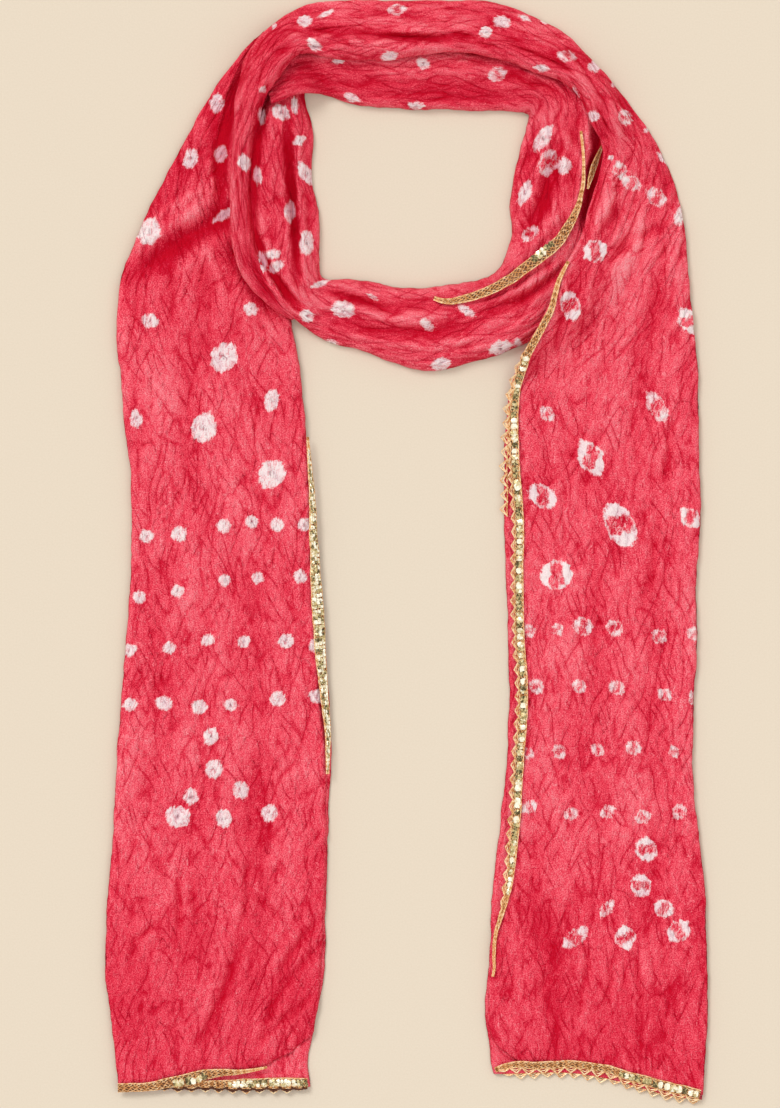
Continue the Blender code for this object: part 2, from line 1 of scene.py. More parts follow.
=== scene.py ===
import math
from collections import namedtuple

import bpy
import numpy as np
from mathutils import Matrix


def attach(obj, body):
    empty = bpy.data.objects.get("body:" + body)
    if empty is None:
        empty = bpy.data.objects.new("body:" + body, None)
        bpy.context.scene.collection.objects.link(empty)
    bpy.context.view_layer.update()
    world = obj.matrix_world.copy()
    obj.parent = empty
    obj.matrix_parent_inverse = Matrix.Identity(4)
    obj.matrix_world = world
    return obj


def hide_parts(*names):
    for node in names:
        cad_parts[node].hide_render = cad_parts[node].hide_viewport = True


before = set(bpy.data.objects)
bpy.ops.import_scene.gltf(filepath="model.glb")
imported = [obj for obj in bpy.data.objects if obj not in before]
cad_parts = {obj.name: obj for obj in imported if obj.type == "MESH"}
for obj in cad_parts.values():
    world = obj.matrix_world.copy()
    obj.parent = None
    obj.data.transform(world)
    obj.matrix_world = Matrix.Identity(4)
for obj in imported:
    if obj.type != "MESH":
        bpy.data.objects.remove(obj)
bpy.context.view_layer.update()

# Looks of a dupatta stole: crushed silk, tie-dyed with bandhani dots and edged with gota lace.
#
# The strip is folded lengthwise into about four layers and laid down as a rising helix.  Its surfaces are
# worked out from sections across the strip, which are the same as the solids'.  Every stretch lies on the
# map of heights of what was laid before it.  Lengths are millimetres until a mesh is written.

MM = 0.001
OUTLINE_MIDDLE = np.array((-0.26, -0.06, 0.0))   # comes to the origin, as in the solids

# Map of heights, one cell for each square millimetre.
MAP_LEFT = -230
MAP_FRONT = -380
MAP_SIZE_X = 460
MAP_SIZE_Y = 770

# Sections across the strip, in the order in which it is laid.  The inner edge is the one nearer the neck
# opening or the other tail.  Columns: x and y of the inner edge, x and y of the outer edge, height of all
# the folded layers, and distance over which their edges round off.
SECTIONS = {
    "tail_left": (
        (-63.5, -346.5, -187, -348, 5, 6),
        (-64.5, -330, -189.5, -330, 5.4, 6),
        (-61, -309, -192, -308, 5.4, 6),
        (-54.5, -280, -195.5, -280, 5.6, 7),
        (-53, -235, -195.5, -235, 5.6, 7),
        (-51.5, -179.5, -191, -179.5, 5.6, 7),
        (-49.5, -120, -188, -120, 5.8, 7),
        (-52.5, -72, -184, -72, 5.8, 7),
        (-57, -23.5, -180.5, -23.5, 6, 7),
        (-60.5, 15.5, -179, 15.5, 6.2, 8),
        (-63, 51.5, -179.5, 51.5, 6.2, 8),
        (-66, 84, -184, 84, 6.4, 8),
        (-69, 113, -186, 113, 6.6, 9),
        (-73, 138, -189, 142.5, 7, 9),
        (-76, 159, -186.5, 176, 7.2, 10),
        (-76, 182, -177.5, 202, 7.6, 10),
        (-83, 209.5, -165, 230, 8, 11),
        (-88, 236, -151.5, 256, 8.4, 12),
        (-87, 261.5, -136, 284, 8.4, 12),
        (-83, 281, -119.5, 310.5, 8, 12),
        (-81, 298.5, -102.5, 331.5, 7, 11),
        (-80, 312, -93, 339.5, 5, 9),
    ),
    "back_under": (
        (-88, 292, -94, 313.5, 3, 8),
        (-80, 295, -85, 321, 6, 12),
        (-69.5, 298.5, -71.5, 331.5, 9, 16),
        (-59, 299, -58, 335.5, 11, 17),
        (-47.5, 296.5, -46, 335.5, 11.5, 18),
        (-34.5, 292.5, -34.5, 334, 12, 18),
        (-10, 290, -10, 333, 12, 18),
        (21.5, 289, 21.5, 332, 12, 18),
        (54, 288, 56, 330, 12, 18),
        (77, 287, 84, 323.5, 12, 17),
    ),
    "side_right": (
        (79, 285.5, 103, 317, 12, 17),
        (79, 283, 118, 306, 12, 17),
        (77.5, 278, 127, 291, 12, 18),
        (75, 269, 129.5, 269.5, 12, 18),
        (69.5, 244.5, 129.5, 243, 12.5, 20),
        (67.5, 226, 128, 225, 13, 20),
        (68, 206.5, 125.5, 201.5, 13, 20),
    ),
    "front_band": (
        (65, 197.5, 124, 188.5, 13.5, 20),
        (60.5, 187, 112, 166, 14, 20),
        (52, 180, 89.5, 144, 14, 20),
        (40, 177, 64.5, 131.5, 14, 20),
        (28.5, 175, 41, 124, 14, 20),
        (15, 173.5, 16, 119, 14, 20),
        (-1.5, 173, -7, 124, 14, 20),
        (-19, 176, -30.5, 132.5, 13, 18),
        (-36, 178.5, -52.5, 138.5, 12, 16),
        (-48, 178, -68, 148.5, 11.5, 15),
        (-54, 179, -79, 157, 11, 14),
    ),
    "side_left": (
        (-56.5, 184, -89, 171.5, 11, 13),
        (-56.5, 194, -96, 184, 11, 13),
        (-56.5, 206, -99.5, 199, 11, 14),
        (-58, 226, -101, 221, 11, 14),
        (-62, 243, -102, 244.5, 11, 14),
        (-61, 262.5, -102, 265, 10.5, 14),
        (-62, 279.5, -97, 281, 9, 14),
        (-65.5, 291, -92.5, 290, 6, 10),
        (-67, 301.5, -86.5, 300.5, 3, 8),
    ),
    "side_left_outer": (
        (-70.5, 157.5, -74.5, 151.5, 4, 3),
        (-76.5, 163.5, -83.5, 156.5, 8, 5),
        (-83.5, 173, -93, 165, 10, 7),
        (-90.5, 182, -102.5, 173.5, 10.5, 9),
        (-96.8, 196.2, -111, 191, 10.5, 10),
        (-99.8, 221, -115, 219.5, 10.5, 10),
        (-101, 244.5, -114.5, 243, 10.5, 10),
        (-100.6, 265, -113.5, 262.5, 10.5, 10),
        (-96.5, 279.5, -112, 282, 10.5, 11),
    ),
    "back_over": (
        (-93.5, 291, -112, 296.5, 10.8, 12),
        (-90.5, 297.5, -109, 307.5, 11, 13),
        (-82, 310.5, -104.5, 323.5, 11.5, 14),
        (-75, 320, -94, 338, 12, 14),
        (-67.5, 325, -79.5, 350.5, 12, 14),
        (-55, 323, -64.5, 357, 12, 15),
        (-40.5, 321, -45, 359.5, 12, 15),
        (-11, 320.5, -10, 360, 12, 15),
        (15, 324.5, 21.5, 360, 12, 14),
        (41, 325, 53.5, 359, 12, 14),
        (63.5, 320.5, 76.5, 352, 12, 13),
        (84.5, 312, 101, 339.5, 12, 13),
        (99.5, 307, 120, 322, 11.5, 12),
        (110.5, 297.5, 135, 305, 11, 12),
        (119, 281, 151.5, 283.5, 10.5, 12),
        (127, 262.5, 164.5, 263, 10, 13),
    ),
    "tail_right": (
        (124, 243, 173, 244.5, 9.5, 14),
        (117.5, 223, 178, 225.5, 9, 14),
        (110.5, 202, 181.5, 204, 8.5, 12),
        (99.5, 182, 182.5, 182, 8, 11),
        (91.5, 161, 185, 161, 7.4, 10),
        (81, 140.5, 187, 140.5, 7, 9),
        (70.5, 118.5, 189, 118.5, 6.6, 9),
        (65, 92.5, 189.5, 92.5, 6.4, 8),
        (63, 60, 190, 60, 6.2, 8),
        (63, 25, 191, 25, 6.2, 8),
        (64.5, -15, 188, -15, 6, 7),
        (65.5, -56, 188.5, -54, 6, 7),
        (66.5, -97, 186.5, -97, 5.8, 7),
        (63.5, -145, 186, -145, 5.8, 7),
        (60, -183, 189.5, -183, 5.6, 7),
        (55.5, -220, 193.5, -220, 5.6, 7),
        (53.5, -265, 195, -265, 5.4, 7),
        (50.5, -298, 195.5, -298, 5.4, 6),
        (52.5, -315, 194.5, -320, 5.4, 6),
        (56.5, -338, 192, -355, 5, 6),
    ),
}

# Stretches that run on from one another, in the order of the strip.
RUNS = (
    ("back_under", "side_right", "front_band", "side_left"),
    ("side_left_outer", "back_over", "tail_right"),
    ("tail_left",),
)

# Free edge of the upper layers of each tail, from its top round to the hem, with the cloth on the left
# hand for the right tail and on the right hand for the left one.  Columns: x, y.
FREE_EDGE = {
    "tail_right": (
        (121.5, 248), (115.5, 223), (108, 201.5), (102.8, 190.5), (97.5, 179), (91.5, 158.5),
        (83, 142.5), (73.5, 123), (69, 106.5), (67.5, 87), (69, 54.5), (71, 22), (71, -30), (73.5, -97),
        (71, -139), (68, -184.5), (65.5, -206.5), (61, -229.5), (56.5, -244), (54, -274.5),
        (52, -300.5), (58.5, -319), (72, -331), (114, -331.5), (134, -336.5), (165, -346),
        (191, -351.5),
    ),
    "tail_left": (
        (-75, 315), (-80, 240), (-73.5, 180), (-70.5, 140), (-67, 106), (-65.5, 86.5), (-63, 49),
        (-61.5, 9), (-59, -43), (-56, -88.5), (-53.5, -122), (-52, -153.5), (-53.5, -225),
        (-56.5, -290), (-58.5, -304), (-65.5, -313.5), (-76.5, -324.5), (-93, -333), (-104, -336),
        (-125.5, -336), (-141.5, -340.5), (-163, -345), (-187, -347),
    ),
}

# Main creases, each a soft trough along a curve from its first point to its last that bends towards the
# middle one.  Columns: x and y of the three points, half the trough's width, and its depth.  A negative
# depth is a ridge.
CREASES = {
    "tail_left": (
        (-112, 222, -140, 208, -178, 180.5, 6, 5),
        (-120, 244, -150, 224, -178, 196.5, 9, -3),
        (-102, 320, -123, 286, -121.5, 214, 4.2, 6),
        (-123.5, 212, -109, 175.5, -90.5, 154.5, 5, 2.4),
        (-116.5, 206.5, -104, 178, -80, 151, 5, 2.6),
        (-134.5, 192.5, -130.5, 177, -124, 161, 6, 1.8),
        (-160.5, 48, -156.5, -56, -162, -160, 9, 1.3),
        (-102, -4, -94, -134, -99, -264, 9, 1.3),
        (-134.5, 145.5, -141, 87, -137, 22, 8, 1.4),
    ),
    "back_under": (
        (-50, 308, 15, 303, 86.5, 296.5, 6, 3),
        (-69.5, 321, -59, 313.5, -50, 300.5, 5, 2.4),
    ),
    "side_right": (
        (96, 262.5, 95.5, 238, 78.5, 208, 6, 7),
        (124.5, 282, 125, 252, 116, 214, 5.5, 9),
        (111, 282, 108.5, 251, 103.5, 222.5, 4, 3),
        (86.5, 283.5, 81, 262.5, 76, 242, 4, 2.6),
    ),
    "front_band": (
        (-50, 171.5, -14.5, 153.5, 41, 167.5, 4, 3.4),
        (-55, 153.5, 15, 132.5, 89.5, 165, 5, 3.4),
        (110, 192.5, 86.5, 165, 31, 157.5, 4, 2.6),
    ),
    "side_left": (
        (-77.5, 284, -75, 232, -71, 176, 3.2, 9),
        (-68, 304, -61, 292, -57, 274, 5, 7),
        (-85, 283.5, -88, 236.5, -81, 186, 3, 1.2),
        (-91, 300, -103.5, 254, -98, 198, 3.4, 8),
        (-99, 210, -93, 184, -70, 160, 2.8, 6),
    ),
    "side_left_outer": (
        (-106.5, 288.5, -108, 236.5, -104, 200, 2.4, 1.4),
        (-91, 300, -103, 254, -98, 198, 3.4, 8),
        (-104, 198, -99, 180, -84, 163, 4, 4.6),
    ),
    "back_over": (
        (-65.5, 340.5, -14.5, 338.5, 37.5, 332, 4, 2.6),
        (-69.5, 352.5, -59, 356, -47.5, 349.5, 3, 2),
        (65.5, 331.5, 86.5, 323.5, 107, 313.5, 4, 3.2),
        (99.5, 334, 129.5, 310.5, 151.5, 277, 5, 2.4),
        (-99, 321, -88, 334, -69.5, 343, 4, 2.4),
    ),
    "tail_right": (
        (146, 235, 133, 204, 115.5, 165, 7, 2.6),
        (167, 236.5, 154.5, 152, 151.5, 54.5, 8, 2),
        (133, 236, 119, 184.5, 86.5, 122, 6, 2.4),
        (125.5, 22, 119, -82, 128, -199, 9, 1.3),
        (158, -4, 167, -121, 158, -251, 9, 1.3),
        (86.5, -225, 99.5, -277, 97, -322.5, 8, 1.4),
    ),
}

# Finer folds of the cloth, which the solids leave out, in the same columns.
FINE_CREASES = {
    "side_left_outer": (
        (-110, 285, -113, 240, -106, 192, 2.2, 1.4),
    ),
    "side_left": (
        (-91.5, 278, -94.5, 240, -88, 196, 2.4, 1.6),
        (-64.5, 272, -65, 236, -62, 196, 2.4, 1.4),
        (-90, 225, -84, 231, -78.5, 232.5, 1.8, 1.6),
    ),
    "side_right": (
        (92.3, 272, 104, 262, 112, 240, 2.4, 1.6),
        (93, 276, 99, 252, 99, 226, 2.2, 1.6),
        (90, 278, 84, 262, 72, 246, 2.6, 1.6),
        (98, 280, 116, 270, 121, 246, 2.4, 1.6),
        (104, 222, 96, 206, 78, 192, 3, 1.8),
    ),
    "front_band": (
        (-99, 210, -93, 184, -70, 160, 2.8, 6),
        (-84, 163, -76, 150, -62, 141, 2.6, 2.6),
        (-57, 172, -34, 165, -4, 156, 2.6, 3.6),
        (27.5, 161, 60, 164, 93, 189.5, 2, 2.8),
        (44, 155, 76, 161, 99, 183, 2.2, 2.4),
        (27.5, 141.5, 61, 143, 82, 159, 2.2, 2),
        (-30, 148, 8, 138, 48, 147, 3, 1.8),
        (-8, 165, 30, 150, 78, 168, 2.6, 1.6),
        (20, 130, 50, 138, 84, 152, 2.6, 1.6),
        (60, 176, 84, 182, 104, 196, 2.6, 1.6),
    ),
    "back_under": (
        (-60, 316, -20, 314, 20, 318, 3, 1.4),
        (-30, 299, 20, 296, 60, 295, 2.6, 1.4),
        (40, 305, 72, 312, 96, 302, 3, 2),
        (50, 316, 76, 312, 100, 296, 2.4, 1.6),
    ),
    "back_over": (
        (-62, 339.5, -14, 337.5, 36, 331.5, 2, 2.2),
        (-27, 333.5, 2, 338, 39, 334.5, 1.8, 2.4),
        (12, 344.5, 36, 339, 60, 325, 2.4, 2.6),
        (-55, 339, -43, 337, -32, 325.5, 2, 2.2),
        (66, 331, 86, 323.5, 106, 314, 2, 2),
        (-90, 315, -70, 338, -40, 344, 2.4, 1.8),
        (-84, 312, -66, 330, -40, 334, 2.4, 1.8),
        (-100, 300, -92, 318, -76, 332, 2.2, 1.8),
        (-30, 334, 10, 330, 44, 338, 2.6, 1.6),
        (-36, 352, 6, 350, 44, 342, 2.6, 1.4),
        (44, 345, 76, 336, 100, 322, 3, 1.6),
        (110, 318, 128, 300, 136, 276, 2.4, 1.6),
        (118, 300, 130, 284, 138, 262, 2.4, 1.4),
        (134, 300, 148, 284, 160, 262, 2.4, 1.4),
        (124, 296, 129, 278, 131, 258, 3.4, 3.4),
        (100, 306, 116, 293, 125, 272, 3, 3.4),
    ),
    "tail_left": (
        (-107, -250, -118, -284, -134, -322, 3.2, 2.6),
        (-103, -203, -104, -222, -107, -242, 2.4, 1.9),
        (-148, -208, -149, -232, -149, -254, 2.2, 1.9),
        (-140, -210, -139, -225, -136, -242, 1.8, 1.6),
        (-99, -223, -90, -228, -81, -239, 2, 1.8),
        (-55, -236, -72, -252, -87, -282, 2.6, 2.2),
        (-58, -258, -86, -280, -95, -318, 2.6, 2.4),
        (-61, -286, -76, -300, -97, -318, 2.4, 2),
        (-160, -238, -170, -246, -182, -255, 2, 1.4),
        (-106, 190, -100, 172, -82, 150, 2.6, 1.6),
        (-128, 206, -118, 184, -112, 164, 3, 1.6),
        (-150, 196, -154, 176, -152, 152, 3, 1.4),
        (-124, 300, -126, 270, -120, 246, 6, 2.6),
        (-128, 236, -150, 222, -170, 206, 3, 1.6),
        (-122, 250, -146, 236, -164, 222, 3, 1.4),
    ),
    "tail_right": (
        (128, 258, 122, 222, 107, 182, 4, 4.4),
        (149, 209, 141, 200, 128, 187, 3.4, 3),
        (168, 212, 160, 210, 148, 205, 3, 2),
        (137, 224, 130, 216, 124, 204, 3.4, 3),
        (116, 190, 104, 164, 96, 132, 3.4, 2),
        (160, 226, 154, 196, 140, 160, 3.4, 1.8),
        (128, 182, 122, 150, 104, 118, 3.6, 1.8),
        (170, 214, 166, 180, 158, 140, 3.4, 1.4),
        (104, -257, 97, -270, 84, -286, 2.4, 1.8),
        (134, -260, 132, -285, 126, -310, 2.2, 1.5),
        (148, -260, 154, -285, 152, -312, 2.2, 1.4),
        (166, -256, 168, -280, 177, -302, 2, 1.3),
        (118, -259, 116, -282, 107, -306, 2.2, 1.5),
        (173, 90, 168, 60, 170, 36, 2.6, 1.6),
        (160, 20, 163, -10, 152, -34, 2.4, 1.6),
    ),
}

# Paths that lace is sewn along where no edge of a stretch gives them.  Columns: x, y.
LACE_PATHS = {
    "left_hem": (
        (-91, -333.5), (-98, -335.2), (-108.5, -337), (-125, -337.6), (-133, -339), (-141.5, -341.4),
        (-157, -344.2), (-173.5, -346.6), (-188, -347),
    ),
    "left_under_edge": (
        (-65.5, 76), (-63, 48), (-61.5, 9), (-59.5, -27.5), (-57.5, -56), (-54.5, -95), (-52, -122),
        (-52.5, -143),
    ),
    "right_hem": (
        (57.5, -335.8), (63, -333.6), (72, -331.8), (82, -332.4), (94.5, -332.2), (106, -331.8),
        (117.5, -332.8), (132, -335.7), (138.5, -337.8), (154.5, -342.5), (171, -347), (190.5, -351.5),
    ),
    "pocket": (
        (127, 266), (121.5, 251), (117.5, 237),
    ),
    "loop": (
        (113, 274.5), (115, 259), (114, 236.5), (108.5, 219), (99.5, 204.5), (89.5, 195), (78, 186.5),
        (67.5, 178.5), (59, 173.8), (48.5, 168.6), (36, 165), (24, 164), (17.5, 166),
    ),
}

# Bandhani dots on each stretch: half their length and width, the lean of their length from the x axis in
# degrees, whether the dye has run into the middle and left a ring, and their places.
Dots = namedtuple("Dots", "long_radius short_radius lean ring places")
DOTS = {
    "tail_left": (
        Dots(4.6, 4.6, 0, False, (
            (-169.5, 11.5), (-148, 13), (-119, 18), (-101, 21), (-84.5, 19), (-67, 19))),
        Dots(4.4, 4.4, 0, False, ((-174, -28), (-149, -24), (-118.5, -17), (-97, -15.5), (-69.5, -14.5))),
        Dots(4.8, 4.4, 30, False, (
            (-180.5, -62.5), (-154.5, -61), (-129.5, -56), (-106, -57), (-78.5, -56.5), (-59, -59))),
        Dots(5.2, 4.6, 0, False, (
            (-180, -98), (-158, -97), (-135, -99.5), (-114.5, -98), (-84, -94), (-58.5, -92.5))),
        Dots(6.4, 5.6, 80, False, (
            (-127.5, -118.5), (-125.5, -140), (-140.5, -158), (-108, -153.5), (-119, -172),
            (-89.5, -168.5))),
        Dots(8.5, 7, 0, False, ((-149, -171),)),
        Dots(9.4, 7.8, 75, False, ((-119, 128), (-132, 82), (-88, 52), (-167.5, 209.5))),
        Dots(7, 4.6, 80, False, ((-88, 100), (-176, 88))),
        Dots(5.6, 4.8, -40, False, ((-167, 151.5), (-101.5, 159))),
        Dots(6, 4.4, 70, False, ((-123.5, 293), (-140.5, 257), (-121, 260))),
        Dots(8, 3, 40, False, ((-119, 220.5),)),
    ),
    "tail_right": (
        Dots(4.9, 4.2, -60, True, ((79.5, -50), (98, -49), (186.5, -52))),
        Dots(6, 5.3, -50, True, ((114.5, -47), (135, -48), (164, -53.5))),
        Dots(5.2, 4.4, -50, True, ((84, -86), (112, -86), (136.5, -87), (167.5, -91.5), (187, -94))),
        Dots(4.9, 4.2, -50, True, (
            (78, -129.5), (99, -128.5), (124, -127.5), (147, -126), (173.5, -128.5))),
        Dots(5.2, 4.5, 30, True, (
            (79.5, -164.5), (106.5, -169), (130.5, -167.5), (153, -171), (177, -167.5))),
        Dots(7.6, 6.6, -60, True, ((155.5, -192), (152, -215.5), (142, -249.3))),
        Dots(6.8, 4, 38, True, ((129.8, -230.5),)),
        Dots(7.4, 6.4, -40, True, ((167, -230.5),)),
        Dots(9.4, 5, 35, True, ((109.5, -249.3),)),
        Dots(9.2, 7.8, 30, True, ((176.6, -245.2),)),
        Dots(13, 8.2, -44, True, ((119.5, 62.5),)),
        Dots(14.5, 9, -44, True, ((138.5, 19),)),
        Dots(11.4, 10, 20, True, ((97, -13.5),)),
        Dots(8.8, 8, 20, True, ((122, 196.5),)),
        Dots(8.8, 5.6, -72, True, ((106, 161),)),
        Dots(11.5, 6, -47, True, ((162.5, 95.5),)),
        Dots(9.4, 6.6, -50, True, ((88, 37.5), (184, 23.5), (182.5, 151.5))),
        Dots(6.6, 5, -30, True, ((91, 91), (162, 232), (145.5, 241))),
        Dots(7, 4, 85, False, ((177.5, 219.5),)),
    ),
    "back_over": (
        Dots(4.4, 3.8, 0, False, ((-66.5, 346), (121.5, 316.5), (121, 284))),
        Dots(4.8, 1.5, 35, False, ((-52.5, 350.5),)),
        Dots(5.2, 4.6, 30, False, ((51, 338.5),)),
        Dots(5.4, 3.4, -20, False, ((61.5, 345.5), (-60, 330))),
        Dots(4.4, 2, -12, False, ((76.5, 348), (91, 346), (87.5, 315))),
        Dots(5.4, 2, -60, False, ((109.5, 297), (166.5, 257))),
        Dots(6.6, 4.2, -12, True, ((-6.5, 353.5), (103.5, 323))),
        Dots(6, 4.6, -70, True, ((141.5, 283.5), (138, 249))),
        Dots(6, 3, 15, False, ((-11.5, 322.5),)),
        Dots(2.2, 1.6, 40, False, ((-86.5, 343), (134.5, 305), (155.5, 275.5), (132.5, 257))),
    ),
    "back_under": (
        Dots(6.6, 5.2, 25, True, ((58.5, 311.5),)),
        Dots(4.8, 3.6, -40, False, ((10.5, 318.5),)),
        Dots(4.2, 1.8, -10, False, ((-45, 320),)),
        Dots(5, 2.4, -8, False, ((-36, 296.5), (6, 291.5))),
    ),
    "side_left": (
        Dots(6.2, 5, -30, False, ((-82, 286.5),)),
        Dots(9, 4.2, -62, False, ((-65.5, 247),)),
        Dots(7.6, 4.2, 80, False, ((-65.5, 202), (-76, 222.5), (-95, 189))),
        Dots(5.4, 3.4, 20, False, ((-70, 268.5), (-85, 186.5), (-87, 194.5))),
        Dots(5, 2.4, 85, False, ((-94, 284), (-97, 245.5), (-73, 291))),
    ),
    "side_left_outer": (
        Dots(6.4, 4.6, -70, False, ((-105.5, 254),)),
        Dots(5.2, 2.6, -85, False, ((-97, 245.5), (-94, 284))),
        Dots(2.6, 2, 45, False, ((-110.5, 320.5), (-93.5, 301))),
    ),
    "side_right": (
        Dots(9, 4.2, 68, False, ((88.5, 270), (76.5, 234.5))),
        Dots(6.2, 5.6, 80, False, ((102, 252),)),
        Dots(8, 5.2, 75, True, ((91.5, 254),)),
        Dots(6, 3.6, 40, True, ((80, 208),)),
    ),
    "front_band": (
        Dots(6, 1.8, 5, False, ((-56.5, 175.5),)),
        Dots(8.4, 5.6, -12, False, ((-41.5, 159),)),
        Dots(5.2, 4, -25, False, ((-65, 154.5),)),
        Dots(4, 1.4, -20, False, ((-49, 137.5), (-22.5, 167))),
        Dots(5.8, 3, -38, False, ((13, 149),)),
        Dots(6.4, 3, -25, False, ((38.5, 158),)),
        Dots(6.6, 4.2, -5, False, ((22, 123.5),)),
        Dots(7, 4.2, 20, False, ((60.5, 134),)),
        Dots(3.2, 3.2, 0, False, ((72, 137),)),
    ),
}

# ---------------------------------------------------------------------------------------------------------
# Sizes of the cloth and the lace

SILK_THICKNESS = 0.25    # one layer of crushed silk
ROW_PITCH = 1.65         # spacing of the mesh along the strip
COLUMN_PITCH = 1.3       # spacing across it
HIDDEN_PITCH = 7.0       # spacing across the undersides
CLEAR = 2                # a stretch clears what lies within this distance
DRAPE = 8                # and smooths itself over this distance
SNUG = (1, 3)            # the same two distances for its underside, which sags into the hollows
LACE_SNUG = (1, 2)       # and for lace
ROLL_EDGE = 1.4          # height of the middle of a roll's folded edge
UNDER_LAYER = 2.7        # height of the lower layers of a tail
LIFT = 0.3               # gap between one piece and the next
CLOTH_WIDTH = 137.0      # width of the strip when folded in four
CRUSH = 1.7              # height of the crushed cloth's ridges
GATHER = 1.3             # depth of the creases between the folds of the gathered loop
FOLD_PITCH = 8.5         # about how far apart those folds lie
FOLD_LENGTH = 70.0       # and how far they run
OPEN_WIDTH = 115.0       # a strip as wide as this is open, and has none
EDGE_WAVE = 0.6          # how far a folded edge wanders to either side
WAVE_REACH = 9.0         # and how far in from the edge the cloth wanders with it
BEHIND = 60.0            # how far the piece in front starts behind the neck
OVERLAP = 5.0            # length over which two pieces of one stretch overlap
SINK = 0.05              # how steeply each sinks below the other there
LEAST_ACROSS = 27.0      # cloth that lies across a strip, however narrow it is
MORE_ACROSS = 0.8        # and more for each millimetre of the strip's width
HEM_REACH = 40.0         # length over which a drawn-up hem rises
LOWER_SHOWS = 24.0       # width of the lower layers that shows beside the upper ones
SHEET_BELOW = np.linspace(0.94, 0.06, 12)    # shares of the width where the upper layers run back below
ROW_NEAR_HEM = -12       # row of a tail's sections whose places across stand for the hem's
DEEP_CREASE = 5.0        # a crease deeper than this has a flat bottom
EDGE_CALM = 5.0          # distance from a folded edge over which creases and crushing set in
RAY_DEPTH = 0.6          # depth of the thin puckers that run out from a tied dot
NO_DOT = -3.0            # value of the white attribute away from every dot
NO_GATHER = 3.0          # value of the gather attribute where there are no folds

TAPE_THICKNESS = 0.35    # of the lace
PICOT_PITCH = 9.0        # from one of its points to the next
POINT_STEPS = 16         # rows of the mesh in that length
SEQUIN_PITCH = 3.9       # from one sequin to the next

ROLL_SHADE = 0.05        # painted light: how much paler the rolls are than the tails
CREASE_SHADE = 0.5       # painted shade: how much darker the cloth is for each millimetre of a crease's depth
RAY_SHADE = 1.1          # and painted shade for each millimetre of a tied dot's pucker
NECK_SHADE = 0.3         # how much darker the gathered stretches are behind the neck
NECK = (270.0, 310.0)    # between these two heights of y they darken

TUBE, SHEET = True, False    # whether the last column of a grid joins its first
THREAD, FOIL = 0, 1          # order of the two finishes on a run of lace


# ---------------------------------------------------------------------------------------------------------
# Numbers that wander: noise, crease nets and falloffs

def lattice(i, j, seed):
    """A fixed number from 0 to 1 for each whole-number cell, mixed from its row, column and seed."""
    h = (i.astype(np.int64) * 374761393 + j.astype(np.int64) * 668265263 + seed * 1442695041) & 0xFFFFFFFF
    h = ((h ^ (h >> 13)) * 1274126177) & 0xFFFFFFFF
    h = ((h ^ (h >> 16)) * 2246822519) & 0xFFFFFFFF
    return (h ^ (h >> 15)) / 2.0 ** 32


def noise(x, y, seed):
    """Gradient noise from about -1 to 1: each lattice corner adds its own slope, faded by a quintic."""
    i, j = np.floor(x), np.floor(y)
    s, t = x - i, y - j
    fade_s = s ** 3 * (s * (s * 6 - 15) + 10)
    fade_t = t ** 3 * (t * (t * 6 - 15) + 10)

    def corner(di, dj):
        """What the slope at one of the cell's corners adds."""
        turn = lattice(i + di, j + dj, seed) * 2 * np.pi
        return np.cos(turn) * (s - di) + np.sin(turn) * (t - dj)

    near = corner(0, 0) * (1 - fade_s) + corner(1, 0) * fade_s
    far = corner(0, 1) * (1 - fade_s) + corner(1, 1) * fade_s
    return 1.5 * (near * (1 - fade_t) + far * fade_t)


def wander(at, length, place, seed):
    """Noise along a line, which changes over about the given length.  Each place has its own."""
    return noise(at / length, 0 * at + place, seed)


def crease_net(s, t, along, across, slant, seed):
    """Slanted and warped noise from -1 to 1.  Its zeros are a net of creases, and its size their depth."""
    t = t + slant * s
    warp = 0.45 * noise(s / along * 2.0 + 7.1, t / across * 0.5, seed + 50)
    bend = 0.2 * noise(t / across * 0.8, s / along * 1.7 + 3.0, seed + 51)
    return np.clip(noise(t / across + warp, s / along + bend, seed) * 2.4, -1, 1)


def slow(s, t, along, across, seed):
    """Noise that changes over the given distances along the strip and across it."""
    return noise(t / across, s / along, seed)


def crushed(s, t):
    """Crushed silk at a distance s along the strip and t across it: its height, and its two main nets.

    Two crossing nets of lengthwise creases make long diamonds, finer nets lie in them, and slow noise
    swells whole areas and weakens or strengthens the creases.
    """
    swell = slow(s, t, along=50.0, across=18.0, seed=3)
    strength = 0.8 + 0.5 * slow(s, t, along=38.0, across=25.0, seed=5)
    one = crease_net(s, t, along=48.0, across=9.0, slant=0.28, seed=11)
    two = crease_net(s, t, along=42.0, across=8.0, slant=-0.36, seed=23)
    fine = np.abs(crease_net(s, t, along=18.0, across=5.0, slant=0.12, seed=37))
    short = np.abs(crease_net(s, t, along=10.0, across=9.0, slant=0.9, seed=41))
    nets = 0.6 * np.abs(one) ** 0.9 + 0.5 * np.abs(two) ** 0.9 + 0.18 * fine + 0.12 * short
    return 0.5 * swell + strength * (nets - 0.7), one, two


def gathers(distance, across, width):
    """Folds along the gathered loop, which die out where the strip opens.

    Zero is the bottom of the crease between two folds.  The size grows to 1 on the top of a fold, and
    beyond 1 where folds are weak.
    """
    sway = 0.9 * noise(distance / 45.0, across / 16.0, 61)
    fold = 2.4 * noise(across / FOLD_PITCH + sway, distance / FOLD_LENGTH, 62)
    weak = 1.0 + 1.6 * np.clip(noise(distance / 40.0, across / 20.0, 63) + 0.3, 0, 1)
    return fold * weak / np.clip((OPEN_WIDTH - width) / 60.0, 0.08, 1.0)


def rounded(distance, reach):
    """A quarter ellipse: 0 at an edge, rising steeply to 1 at the given distance from it."""
    t = np.clip(distance / reach, 0, 1)
    return np.sqrt(1 - (1 - t) ** 2)


